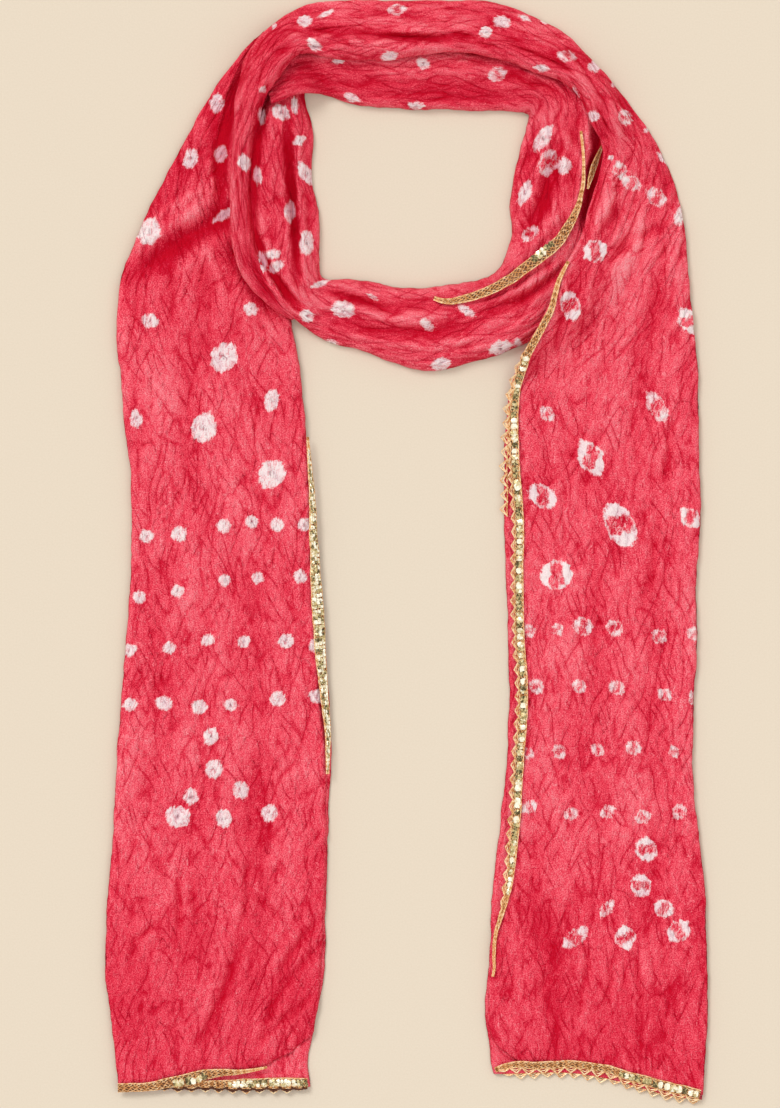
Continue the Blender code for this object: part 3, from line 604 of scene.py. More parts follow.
def eased(value, low, high):
    """0 below low, 1 above high, and a smooth S between them."""
    t = np.clip((value - low) / (high - low), 0, 1)
    return t * t * (3 - 2 * t)


# ---------------------------------------------------------------------------------------------------------
# The strip's plan

def running_total(lengths):
    """Distance from the start of a line at each of its points, from the lengths between them."""
    return np.concatenate(([0.0], np.cumsum(lengths)))


def path_distance(path):
    """Distance along a path at each of its points."""
    return running_total(np.hypot(*np.diff(path, axis=0).T))


def curve_through(rows, along, at):
    """Cubic curve through rows of numbers, read at distances along it.

    Each row's slope is that between its neighbours, so the curve bends smoothly through every row.
    """
    slope = np.gradient(rows, along, axis=0)
    k = np.clip(np.searchsorted(along, at, side="right") - 1, 0, len(along) - 2)
    span = (along[k + 1] - along[k])[:, None]
    t = (at - along[k])[:, None] / span
    value = rows[k] * (1 + 2 * t) * (1 - t) ** 2 + rows[k + 1] * t * t * (3 - 2 * t)
    return value + span * (slope[k] * t * (1 - t) ** 2 - slope[k + 1] * t * t * (1 - t))


def reach_of(run, first, last):
    """Distances along a run at which one named stretch starts and another ends."""
    rows = np.array([row for name in run for row in SECTIONS[name]], dtype=float)
    along = path_distance((rows[:, 0:2] + rows[:, 2:4]) / 2)
    start = sum(len(SECTIONS[name]) for name in run[:run.index(first)])
    end = sum(len(SECTIONS[name]) for name in run[:run.index(last) + 1])
    return rows, along, along[start], along[min(end, len(rows) - 1)]


def stretch(run, first, last, before=0.0, after=0.0):
    """Sections at an even pitch from one named stretch of a run to another, and their distances.

    It can start a little before the first stretch and end a little after the last.
    """
    rows, along, start, end = reach_of(run, first, last)
    start, end = start - before, end + after
    at = np.linspace(start, end, round((end - start) / ROW_PITCH) + 1)
    return curve_through(rows, along, at), at


def across_steps(width, pitch, crowding=0.25):
    """Shares of the width from 0 to 1, a little closer together near both edges."""
    even = np.linspace(0, 1, max(4, round(width / pitch)) + 1)
    return (1 - crowding) * even + crowding * (0.5 - 0.5 * np.cos(np.pi * even))


def width_of(sections):
    """Width of each section, as a column."""
    return np.hypot(sections[:, 2] - sections[:, 0], sections[:, 3] - sections[:, 1])[:, None]


def plan(sections, share):
    """x and y at shares of the width, in a straight line from the inner edge to the outer one."""
    x = sections[:, 0:1] + (sections[:, 2:3] - sections[:, 0:1]) * share
    y = sections[:, 1:2] + (sections[:, 3:4] - sections[:, 1:2]) * share
    return x, y


Strip = namedtuple("Strip", "x y share width distance full round_edge")


def spread(here, steps, seed):
    """Plan of a strip at rows of sections and shares of the cloth, with both folded edges wandering.

    here holds a section, its distance along the run and the share at which the cloth starts, for each
    row and column.
    """
    width = np.hypot(here[..., 2] - here[..., 0], here[..., 3] - here[..., 1])
    distance, first = here[..., 6], here[..., 7]
    share = first + (1 - first) * steps
    wave_in = wander(distance, 17.0, 0.5, seed) + 0.6 * wander(distance, 6.0, 3.5, seed + 1)
    wave_out = wander(distance, 15.0, 7.5, seed + 2) + 0.6 * wander(distance, 5.5, 9.5, seed + 3)
    near_in, near_out = np.exp(-steps * width / WAVE_REACH), np.exp(-(1 - steps) * width / WAVE_REACH)
    share = share + EDGE_WAVE * (wave_in * near_in + wave_out * near_out) / width
    x = here[..., 0] + (here[..., 2] - here[..., 0]) * share
    y = here[..., 1] + (here[..., 3] - here[..., 1]) * share
    return Strip(x, y, share, width, distance, here[..., 4], here[..., 5])


def every_column(sections, at, columns):
    """The same section in every column, with its distance and a first share of 0."""
    table = np.concatenate((sections, at[:, None], 0 * at[:, None]), axis=1)
    return np.repeat(table[:, None, :], columns, axis=1)


def across_cloth(share, width):
    """Distance across the cloth itself, which is gathered closer where the strip is narrow."""
    return share * (LEAST_ACROSS + MORE_ACROSS * width)


def hem_rise(share):
    """How far a hem is drawn up at each share of the width: 1 near the middle, and 0 at both edges."""
    return np.sin(np.pi * np.clip(share / 0.85, 0, 1)) ** 1.3


def distance_to_path(x, y, path):
    """Distance from each point to a polyline, positive on its left-hand side."""
    best = np.full(x.shape, np.inf)
    side = np.zeros(x.shape)
    for (x0, y0), (x1, y1) in zip(path[:-1], path[1:]):
        dx, dy = x1 - x0, y1 - y0
        t = np.clip(((x - x0) * dx + (y - y0) * dy) / (dx * dx + dy * dy), 0, 1)
        away = np.hypot(x - x0 - t * dx, y - y0 - t * dy)
        nearer = away < best - 1e-6
        best = np.where(nearer, away, best)
        side = np.where(nearer, np.sign(dx * (y - y0) - dy * (x - x0)), side)
    return best * side


def crease_depth(x, y, crease):
    """Depth of one trough: a bell across its curve that fades towards both ends.

    A deep trough has a flat bottom, and any other lies between two low ridges.
    """
    x0, y0, x1, y1, x2, y2, width, depth = crease
    t = np.linspace(0, 1, 60)
    px = (1 - t) ** 2 * x0 + 2 * t * (1 - t) * x1 + t * t * x2
    py = (1 - t) ** 2 * y0 + 2 * t * (1 - t) * y1 + t * t * y2
    away = np.full(x.shape, np.inf)
    nearest = np.zeros(x.shape)
    for share, cx, cy in zip(t, px, py):
        here = np.hypot(x - cx, y - cy)
        nearest = np.where(here < away, share, nearest)
        away = np.minimum(away, here)
    fade = np.sin(np.pi * (nearest * 0.92 + 0.04)) ** 0.6
    across = away / width
    if depth > DEEP_CREASE:
        return depth * fade * np.exp(-across ** 3.5)
    return depth * fade * (np.exp(-across ** 2) - 0.35 * np.exp(-(across - 2.2) ** 2))


def creases_on(names, x, y):
    """Depth of all the creases of the named stretches."""
    depth = np.zeros(x.shape)
    for name in names:
        for crease in CREASES[name] + FINE_CREASES.get(name, ()):
            depth += crease_depth(x, y, crease)
    return depth


# ---------------------------------------------------------------------------------------------------------
# The map of heights that the pieces are laid on

class Heap:
    """Height of everything laid so far, by name, one value for each square millimetre."""

    def __init__(self):
        self.tops = {}

    def add(self, name, points):
        """Record a grid of top points, filled in between them to less than a millimetre."""
        top = self.tops.setdefault(name, np.zeros((MAP_SIZE_Y, MAP_SIZE_X)))
        for grid in finer(*np.moveaxis(points, -1, 0)):
            column = np.round(grid[0] - MAP_LEFT).astype(int)
            row = np.round(grid[1] - MAP_FRONT).astype(int)
            np.maximum.at(top, (row, column), grid[2] + LIFT)

    def under(self, names, clear=CLEAR, drape=DRAPE):
        """Smooth surface that clears the named pieces: the highest nearby, then averaged."""
        surface = np.zeros((MAP_SIZE_Y, MAP_SIZE_X))
        for name in names:
            surface = np.maximum(surface, self.tops[name])
        for axis in (0, 1):
            reach = clear + drape
            surface = np.max([np.roll(surface, k, axis) for k in range(-reach, reach + 1)], axis=0)
        for axis in (0, 1):
            surface = np.mean([np.roll(surface, k, axis) for k in range(-drape, drape + 1)], axis=0)
        return surface


def finer(*grids):
    """The grids' own points and those halfway between them, as stacks of x, y and z."""
    stack = np.stack(grids)
    rows = (stack[:, 1:] + stack[:, :-1]) / 2
    columns = (stack[:, :, 1:] + stack[:, :, :-1]) / 2
    middles = (rows[:, :, 1:] + rows[:, :, :-1]) / 2
    return stack, rows, columns, middles


def read_map(surface, x, y):
    """Height of a map at each point, in a straight line between its cells."""
    column = np.clip(x - MAP_LEFT, 0, MAP_SIZE_X - 2)
    row = np.clip(y - MAP_FRONT, 0, MAP_SIZE_Y - 2)
    j, i = column.astype(int), row.astype(int)
    s, t = column - j, row - i
    near = surface[i, j] * (1 - s) + surface[i, j + 1] * s
    far = surface[i + 1, j] * (1 - s) + surface[i + 1, j + 1] * s
    return near * (1 - t) + far * t


# ---------------------------------------------------------------------------------------------------------
# Tied dots

def tied_dot(group, dot_x, dot_y, x, y):
    """How far inside one dot's ragged outline each point is, how deep in its pit, and how far raised.

    A ring's two ends are broad and its sides thin.  The cloth rises to a blunt cone with a pit in the
    middle, and puckers run out from it like the spokes of a wheel.
    """
    cell = np.array((round(dot_x * 2), round(dot_y * 2)))
    chance = [float(lattice(cell[0:1], cell[1:2], seed)[0]) for seed in range(6)]
    lean = math.radians(group.lean + 36 * (chance[0] - 0.5))
    dx, dy = x - dot_x, y - dot_y
    size = 0.90 + 0.24 * chance[1]
    p = (dx * math.cos(lean) + dy * math.sin(lean)) / (group.long_radius * size)
    q = (dy * math.cos(lean) - dx * math.sin(lean)) / (group.short_radius * size)
    radius = min(group.long_radius, group.short_radius) * size
    turn = np.arctan2(q, p)

    # Distance out from the middle, 1 on the outline, which is an oval or a diamond with a ragged edge.
    power = 1.25 + 0.9 * chance[2]
    out = (np.abs(p) ** power + np.abs(q) ** power) ** (1 / power)
    out = out / (1 + 0.16 * noise(dx / 2.4 + 9 * chance[3], dy / 2.4 + 9 * chance[4], 71))
    spokes = np.cos(turn * (7 + int(4 * chance[5])) + 1.5 * np.sin(2 * turn + 6.28 * chance[0]))

    if group.ring:
        lobes = np.abs(np.cos(turn + 0.9 * (chance[3] - 0.5))) ** 2.5
        lobes = lobes * (1.0 + (0.6 * chance[4] - 0.3) * np.cos(turn + 6.28 * chance[2]))
        thin = 0.14 if radius < 5.0 else 0.07
        half = thin + (0.34 - thin) * np.clip(lobes, 0, 1.2)
        inside = (half - np.abs(out - 0.98 + half)) * radius
        inside = np.where(out < 0.9, np.maximum(inside, -0.38 if radius > 5.0 else -0.3), inside)
        if radius < 6.0:
            inside = np.minimum(inside, 0.05 + 0.5 * lobes)
    else:
        inside = np.minimum((1 - out) * radius, 0.6)
    inside = inside + 0.16 * spokes * eased(out, 0.5, 1.0)

    pit = np.exp(-(p / 0.10) ** 2 - (q / 0.30) ** 2)
    cone = 0.8 * np.exp(-1.1 * out ** 2) - 0.6 * np.exp(-(out / 0.24) ** 2)
    pucker = 0.55 * spokes * np.exp(-((out - 1.1) / 0.9) ** 2)
    rays = noise(2.1 * np.cos(turn) + 9 * chance[5], 2.1 * np.sin(turn) + 9 * chance[1], 72)
    rays = np.exp(-(rays / 0.17) ** 2) * np.exp(-((out - 1.4) / 0.65) ** 2)
    return inside, pit, (cone + pucker) * min(1.0, radius / 4.5) - RAY_DEPTH * rays


def dots_on(names, x, y):
    """What the tied dots do to a stretch: how white, how pitted, and how far raised each point is.

    White is the distance in millimetres inside a dot's outline.
    """
    white = np.full(x.shape, NO_DOT)
    pit = np.zeros(x.shape)
    raised = np.zeros(x.shape)
    for name in names:
        for group in DOTS.get(name, ()):
            for dot_x, dot_y in group.places:
                near = np.maximum(np.abs(x - dot_x), np.abs(y - dot_y)) < 4.0 * group.long_radius
                if near.any():
                    inside, deep, lifted = tied_dot(group, dot_x, dot_y, x[near], y[near])
                    white[near] = np.maximum(white[near], np.clip(inside, NO_DOT, -NO_DOT))
                    pit[near] = np.maximum(pit[near], deep)
                    raised[near] += lifted
    return white, pit, raised


# ---------------------------------------------------------------------------------------------------------
# Cloth

def outward(points, closed):
    """Unit normals of a grid of points, from its slopes along and across; closed wraps across."""
    along = np.gradient(points, axis=0)
    if closed:
        across = np.roll(points, -1, axis=1) - np.roll(points, 1, axis=1)
    else:
        across = np.gradient(points, axis=1)
    normal = np.cross(across, along)
    return normal / np.maximum(np.linalg.norm(normal, axis=-1), 1e-9)[..., None]


def faces_up(points, closed, columns):
    """1 where the grid's own faces point up over its first columns, and -1 where they point down."""
    return 1.0 if outward(points, closed)[:, :columns, 2].mean() > 0 else -1.0


# Values for the shader at each point: the first is painted shade, darker in hollows and creases and paler on
# ridges; the others are crease nets, gathers, white dots and their pits.
DyeAndShade = namedtuple("DyeAndShade", "hollow fold_one fold_two gather white pit")


def crushed_points(points, closed, facing, cloth, weight, raised):
    """Points pushed out and in along the surface by the crushed pattern and the dots' cones.

    Gives the points, and the pattern's height and two nets of creases.
    """
    swell, one, two = crushed(*cloth)
    normal = outward(points, closed) * facing
    pushed = points + normal * (weight * (CRUSH * swell + raised))[..., None]
    pushed[..., 2] = np.maximum(pushed[..., 2], LIFT)
    return pushed, swell, one, two


def linked(name, data):
    """A new object in the scene that holds the given mesh, lamp or camera."""
    made = bpy.data.objects.new(name, data)
    bpy.context.collection.objects.link(made)
    return made


def write_grid(name, points, closed, facing, cloth, dye_and_shade, material):
    """A mesh object from a grid of points in millimetres, with its cloth coordinates, its dye and its painted
    shade.

    closed joins the last column to the first.  facing is 1 where the grid's own faces point outwards.
    """
    rows, columns = points.shape[:2]
    number = np.arange(rows * columns).reshape(rows, columns)
    if closed:
        number = np.concatenate((number, number[:, :1]), axis=1)
    a, b = number[:-1, :-1], number[:-1, 1:]
    c, d = number[1:, 1:], number[1:, :-1]
    faces = np.stack((a, b, c, d) if facing > 0 else (a, d, c, b), axis=-1).reshape(-1, 4)

    mesh = bpy.data.meshes.new(name)
    mesh.vertices.add(rows * columns)
    mesh.vertices.foreach_set("co", ((points - OUTLINE_MIDDLE) * MM).ravel())
    mesh.loops.add(faces.size)
    mesh.loops.foreach_set("vertex_index", faces.ravel())
    mesh.polygons.add(len(faces))
    mesh.polygons.foreach_set("loop_start", np.arange(0, faces.size, 4))
    mesh.update(calc_edges=True)
    mesh.validate()
    mesh.shade_smooth()

    across = np.stack((cloth[1], cloth[0]), axis=-1) * MM
    uv = mesh.uv_layers.new(name="cloth")
    uv.data.foreach_set("uv", across.reshape(-1, 2)[faces.ravel()].ravel())
    for label, value in dye_and_shade._asdict().items():
        mesh.attributes.new(label, "FLOAT", "POINT").data.foreach_set("value", value.ravel())
    mesh.materials.append(material)
    piece = linked(name, mesh)
    wall = piece.modifiers.new("thickness of the silk", "SOLIDIFY")
    wall.thickness = SILK_THICKNESS * MM
    wall.offset = -1.0
    return piece


def folds_of(strip, names):
    """Depth of the creases and gathers at each point of a strip, and the gathers' own pattern."""
    gather = gathers(strip.distance, strip.share * strip.width, strip.width)
    depth = creases_on(names, strip.x, strip.y)
    return depth + GATHER * np.clip(1 - np.abs(gather), 0, 1), gather


def roll_height(edge, strip, depth):
    """Height of a roll above what it lies on: a half oval across it, less the creases."""
    height = ROLL_EDGE + (strip.full - ROLL_EDGE) * rounded(edge, strip.round_edge)
    return np.maximum(height - depth * rounded(edge, EDGE_CALM), ROLL_EDGE)


def with_underside(shown, hidden, fill):
    """Values of the shown columns, followed by one value for all the hidden ones."""
    return np.concatenate((shown, np.full(hidden.shape, fill)), axis=1)


def from_both_edges(strip):
    """Distance from each point of a strip to the nearer of its two folded edges."""
    return np.minimum(strip.share - strip.share[:, :1], strip.share[:, -1:] - strip.share) * strip.width


def tube_of_cloth(top, strip, sections, at, low_steps, surface, near_hem=0.0, shift=0.0):
    """A flattened tube: its top points with its underside, which lies on a map of heights.

    low_steps are the underside's shares of the width, near_hem how far it is drawn up along each row,
    and shift moves its pattern across the cloth.  Gives the points, the cloth coordinates and the
    underside's shares, counted on from 1 back round to the inner edge.
    """
    low_steps = low_steps[None, 1:-1][:, ::-1]
    x, y = plan(sections, np.repeat(low_steps, len(at), axis=0))
    y = y + near_hem * hem_rise(low_steps)
    low = np.stack((x, y, read_map(surface, x, y) + LIFT), axis=-1)
    low_share = np.repeat(2 - low_steps, len(at), axis=0)
    share = np.concatenate((strip.share, low_share), axis=1)
    cloth = (np.repeat(at[:, None], share.shape[1], axis=1), shift + across_cloth(share, width_of(sections)))
    return np.concatenate((top, low), axis=1), cloth, low_share


def dye_and_shade_of(swell, one, two, depth, gather, hidden, white, pit):
    """The dye and painted shade of a stretch: painted shade darkens its creases, and its hidden columns are
    without folds.
    """
    return DyeAndShade(swell - with_underside(depth * CREASE_SHADE, hidden, 0), one, two,
               with_underside(gather, hidden, NO_GATHER), white, pit)


def rolled(heap, name, run, names, lies_on, silk, seed, width, before=0.0, after=0.0):
    """A stretch of the loop: the gathered strip as one flattened tube, round at both folded edges.

    width sets its number of columns.  before and after move its ends along the run, where they overlap
    those of the next piece.
    """
    sections, at = stretch(run, names[0], names[-1], before, after)
    surface, snug = heap.under(lies_on), heap.under(lies_on, *SNUG)
    creased = run[:run.index(names[-1]) + 2]

    steps = across_steps(width, COLUMN_PITCH)[None, :]
    strip = spread(every_column(sections, at, steps.size), steps, seed)
    edge = from_both_edges(strip)
    depth, gather = folds_of(strip, creased)
    sinks = 0 * strip.distance
    if before:
        sinks = sinks + SINK * np.maximum(at[0] + OVERLAP - strip.distance, 0)
    if after:
        sinks = sinks + SINK * np.maximum(strip.distance - at[-1] + OVERLAP, 0)
    height = roll_height(edge, strip, depth) - sinks
    top = np.stack((strip.x, strip.y, read_map(surface, strip.x, strip.y) + height), axis=-1)
    low_steps = across_steps(width_of(sections).mean(), HIDDEN_PITCH)
    points, cloth, hidden = tube_of_cloth(top, strip, sections, at, low_steps, snug)

    facing = faces_up(points, TUBE, steps.size)
    weight = with_underside(0.25 + 0.4 * rounded(edge, EDGE_CALM), hidden, 0.1)
    white, pit, raised = dots_on(creased, points[..., 0], points[..., 1])
    white[:, steps.size:] = NO_DOT
    points, swell, one, two = crushed_points(points, TUBE, facing, cloth, weight, raised)
    for part in run:
        start, end = reach_of(run, part, part)[2:]
        here = (at >= start) & (at <= end)
        if here.sum() > 2:
            heap.add(part, points[here, :steps.size])
    # The crushed pattern's height becomes painted light and shade: paler on ridges and on the rolls, painted
    # shade in hollows and in the dots' puckers, and darker behind the neck.
    neck = NECK_SHADE * eased(points[..., 1], *NECK)
    swell = swell + ROLL_SHADE + RAY_SHADE * np.minimum(raised, 0) - neck
    dye_and_shade = dye_and_shade_of(swell, one, two, depth, gather, hidden, white, pit)
    return write_grid(name, points, TUBE, facing, cloth, dye_and_shade, silk)


def lower_layers(heap, name, stack, sections, at, lies_on, silk, seed, drawn_up=0.0):
    """The lower layers of a tail as a flattened tube, finely crushed only where they show.

    drawn_up is how far the middle of its hem lies above the line of its last section.
    """
    # Columns lie close together where the cloth shows, and further apart below the upper layers.
    close, apart = np.linspace(0, 20, 17), np.linspace(28, CLOTH_WIDTH, 13)
    steps = np.concatenate((close, apart))[None, :] / CLOTH_WIDTH
    strip = spread(every_column(sections, at, steps.size), steps, seed)
    height = ROLL_EDGE + (UNDER_LAYER - ROLL_EDGE) * rounded(from_both_edges(strip), 3.0)
    near_hem = drawn_up * eased(at, at[-1] - HEM_REACH, at[-1])[:, None]
    y = strip.y + near_hem * hem_rise(strip.share)
    top = np.stack((strip.x, y, read_map(heap.under(lies_on), strip.x, y) + height), axis=-1)
    low_steps = across_steps(CLOTH_WIDTH, 2 * HIDDEN_PITCH)
    points, cloth, hidden = tube_of_cloth(
        top, strip, sections, at, low_steps, heap.under(lies_on, *SNUG), near_hem, shift=3.0)

    facing = faces_up(points, TUBE, steps.size)
    shows = np.clip(1 - strip.share * strip.width / LOWER_SHOWS, 0.0, 1.0) ** 0.5
    none = np.zeros(points.shape[:2])
    weight = with_underside(0.5 * shows, hidden, 0.0)
    points, swell, one, two = crushed_points(points, TUBE, facing, cloth, weight, none)
    heap.add(stack, points[:, :steps.size])
    # The crushed pattern's height is also painted as light and shade: paler on its ridges, darker in its
    # hollows.
    dye_and_shade = DyeAndShade(swell, one, two, none + NO_GATHER, none + NO_DOT, none)
    return write_grid(name, points, TUBE, facing, cloth, dye_and_shade, silk)


def read_rows(table, place):
    """Rows of a table read at whole and part row numbers, in a straight line between them."""
    k = np.clip(place.astype(int), 0, len(table) - 2)
    t = (place - k)[..., None]
    return table[k] * (1 - t) + table[k + 1] * t


def first_shares(sections, free_edge):
    """Share of the width at which the free edge crosses each section, or 0 where it lies outside."""
    trial = np.linspace(0, 0.3, 121)[None, :]
    away = distance_to_path(*plan(sections, trial), free_edge)
    inside = away * np.sign(away[len(away) // 2, -1]) > 0
    return trial[0, inside.argmax(axis=1)]


def rows_to_hem(sections, steps, hem):
    """Row numbers and parts of them, spread evenly down each column from the first section to the hem."""
    rows = len(sections)
    x, y = plan(sections, steps)
    hem_y = np.interp(x[ROW_NEAR_HEM], *np.array(sorted(hem)).T)
    k = np.clip((y > hem_y).sum(axis=0) - 1, 0, rows - 2)
    column = np.arange(steps.size)
    part = (y[k, column] - hem_y) / (y[k, column] - y[k + 1, column])
    return np.linspace(0, 1, rows)[:, None] * (k + np.clip(part, 0, 1))[None, :]


def upper_layers(heap, name, stack, sections, at, lies_on, edges, names, silk, seed, shades, grows=None):
    """The upper layers of a tail, as one sheet folded over: free edge, outer fold, and back below.

    edges are the free edge's path and the hem's.  Its columns start at the free edge and its rows end
    on the hem.  shades are how much paler its top is and how much darker its end.  grows are the
    distances between which its shape grows out of the roll that it runs on from, or None.
    """
    free_edge, hem = edges
    surface = heap.under(lies_on)
    top_steps = across_steps(CLOTH_WIDTH, COLUMN_PITCH)
    steps = np.concatenate((top_steps, SHEET_BELOW))[None, :]
    place = rows_to_hem(sections, steps, hem)
    table = np.concatenate((sections, at[:, None], first_shares(sections, free_edge)[:, None]), axis=1)
    strip = spread(read_rows(table, place), steps, seed)

    count = top_steps.size
    top = Strip(*(values[:, :count] for values in strip))
    from_free = (top.share - top.share[:, :1]) * top.width
    from_outer = (top.share[:, -1:] - top.share) * top.width
    from_hem = (place[-1:] - place)[:, :count] * ROW_PITCH
    edge = np.minimum(from_free, from_outer)
    depth, gather = folds_of(top, names)
    floor = UNDER_LAYER + LIFT
    body = np.minimum(rounded(from_free, np.maximum(3.0, top.round_edge - 6.0)),
                      rounded(from_outer, top.round_edge))
    body = body * (0.35 + 0.65 * rounded(from_hem, 8.0))
    height = np.maximum(floor + (top.full - floor) * body - depth * rounded(edge, 6.0), floor + 0.4)
    low_height = np.full((len(at), SHEET_BELOW.size), UNDER_LAYER + LIFT / 2)
    if grows:
        grown = eased(strip.distance, *grows)
        height = height * grown[:, :count] + roll_height(edge, top, depth) * (1 - grown[:, :count])
        height -= SINK * np.maximum(grows[0] - top.distance, 0)
        low_height = LIFT + (low_height - LIFT) * grown[:, count:]
    heights = np.concatenate((height, low_height), axis=1) + read_map(surface, strip.x, strip.y)
    if grows:
        x, y, hangs = strip.x[:, count:], strip.y[:, count:], 1 - grown[:, count:]
        heights[:, count:] += hangs * (read_map(heap.under(lies_on, *SNUG), x, y) - read_map(surface, x, y))
    points = np.stack((strip.x, strip.y, heights), axis=-1)

    facing = faces_up(points, SHEET, count)
    turned = np.concatenate((top.share, 2 - strip.share[:, count:]), axis=1)
    cloth = (strip.distance, across_cloth(turned, strip.width))
    flat = (1 - 0.85 * eased(depth, 1.0, 3.5)) * (1 - 0.3 * eased(-top.y, 150.0, 260.0))
    weight = with_underside((0.35 + 0.65 * rounded(edge, EDGE_CALM)) * flat, low_height, 0.0)
    white, pit, raised = dots_on(names, strip.x, strip.y)
    white[:, count:] = NO_DOT
    points, swell, one, two = crushed_points(points, SHEET, facing, cloth, weight, raised)
    heap.add(stack, points[:, :count])
    # Painted shade in the dots' puckers, added to the crushed pattern's painted light and shade.
    swell = swell + RAY_SHADE * np.minimum(raised, 0)
    paler, darker = shades
    swell = swell - darker * eased(-strip.y, 130.0, 300.0)
    swell = swell + paler * eased(strip.y, 110.0, 200.0)
    dye_and_shade = dye_and_shade_of(swell, one, two, depth, gather, low_height, white, pit)
    return write_grid(name, points, SHEET, facing, cloth, dye_and_shade, silk)


# ---------------------------------------------------------------------------------------------------------
# Gota lace

class Lace:
    """Collects the tape, cords, sequins and picots of one run of lace, and writes them as one mesh."""

    def __init__(self):
        self.points, self.faces, self.finish, self.tone = [], [], [], []
        self.count = 0

    def add(self, points, faces, finish, tone):
        """Add loose points with their faces, all of one finish."""
        self.points.append(points.reshape(-1, 3))
        self.tone.append(np.broadcast_to(tone, points.shape[:-1]).reshape(-1))
        self.faces.extend([tuple(int(k) + self.count for k in face) for face in faces])
        self.finish.extend([finish] * len(faces))
        self.count += self.points[-1].shape[0]

    def tube(self, rings, finish, tone):
        """Rings of points joined to a closed skin, with both ends filled."""
        rows, sides = rings.shape[:2]
        number = np.arange(rows * sides).reshape(rows, sides)
        number = np.concatenate((number, number[:, :1]), axis=1)
        quads = np.stack((number[:-1, :-1], number[:-1, 1:], number[1:, 1:], number[1:, :-1]), axis=-1)
        faces = [*quads.reshape(-1, 4), number[0, -2::-1], number[-1, :-1]]
        self.add(rings, faces, finish, tone)

    def write(self, name, materials):
        """One mesh object of everything added."""
        points = (np.concatenate(self.points) - OUTLINE_MIDDLE) * MM
        mesh = bpy.data.meshes.new(name)
        mesh.from_pydata(points.tolist(), [], self.faces)
        mesh.attributes.new("tone", "FLOAT", "POINT").data.foreach_set("value", np.concatenate(self.tone))
        for material in materials:
            mesh.materials.append(material)
        mesh.polygons.foreach_set("material_index", self.finish)
        mesh.shade_smooth()
        mesh.set_sharp_from_angle(angle=math.radians(40))
        mesh.update()
        return linked(name, mesh)


def tube_rings(line, radius, sides, lay):
    """Rings round a line of points: a two-ply cord whose plies turn once in each length of lay."""
    along = np.gradient(line, axis=0)
    along /= np.linalg.norm(along, axis=1)[:, None]
    side = np.cross(along, (0.0, 0.0, 1.0))
    side /= np.maximum(np.linalg.norm(side, axis=1), 1e-9)[:, None]
    up = np.cross(side, along)
    angle = np.linspace(0, 2 * np.pi, sides, endpoint=False)[None, :]
    distance = running_total(np.linalg.norm(np.diff(line, axis=0), axis=1))
    ply = np.cos(2 * (angle - np.pi * distance[:, None] / lay))
    reach = (radius * (1 + 0.2 * ply))[..., None]
    ring = np.cos(angle)[..., None] * side[:, None, :] + np.sin(angle)[..., None] * up[:, None, :]
    # The plies' tone is painted: painted shade between them and a painted highlight on top of each.
    return line[:, None, :] + reach * ring, 0.55 + 0.3 * ply, distance


def lace_line(surface, centre, right, offset, lift, droop=0.0):
    """Points beside a path, lifted off what lies below them; droop lowers those far out."""
    offset = np.broadcast_to(offset, len(centre))
    place = centre + right * offset[:, None]
    z = read_map(surface, place[:, 0], place[:, 1]) + lift - droop
    return np.concatenate((place, z[:, None]), axis=1)


# Height of the tape above its edges, at places from one edge at -1 to the other at 1.
TAPE_PROFILE = ((-1.0, 0.0), (-0.5, 0.18), (0.0, 0.24), (0.5, 0.18), (1.0, 0.0))

# The braid's four wavy cords.  Columns: place across the tape, start of its wave, rise and tone.
BRAID = (
    (0.6, 0.0, 0.8, 0.12),
    (0.2, 2.1, 0.6, 0.0),
    (-0.2, 4.4, 0.6, 0.0),
    (-0.6, 3.1, 0.8, 0.12),
)

# The outer cord of each point: its reach as a share of the point's, its radius and its tone.
POINT_CORD = (1.0, 0.46, 0.3)


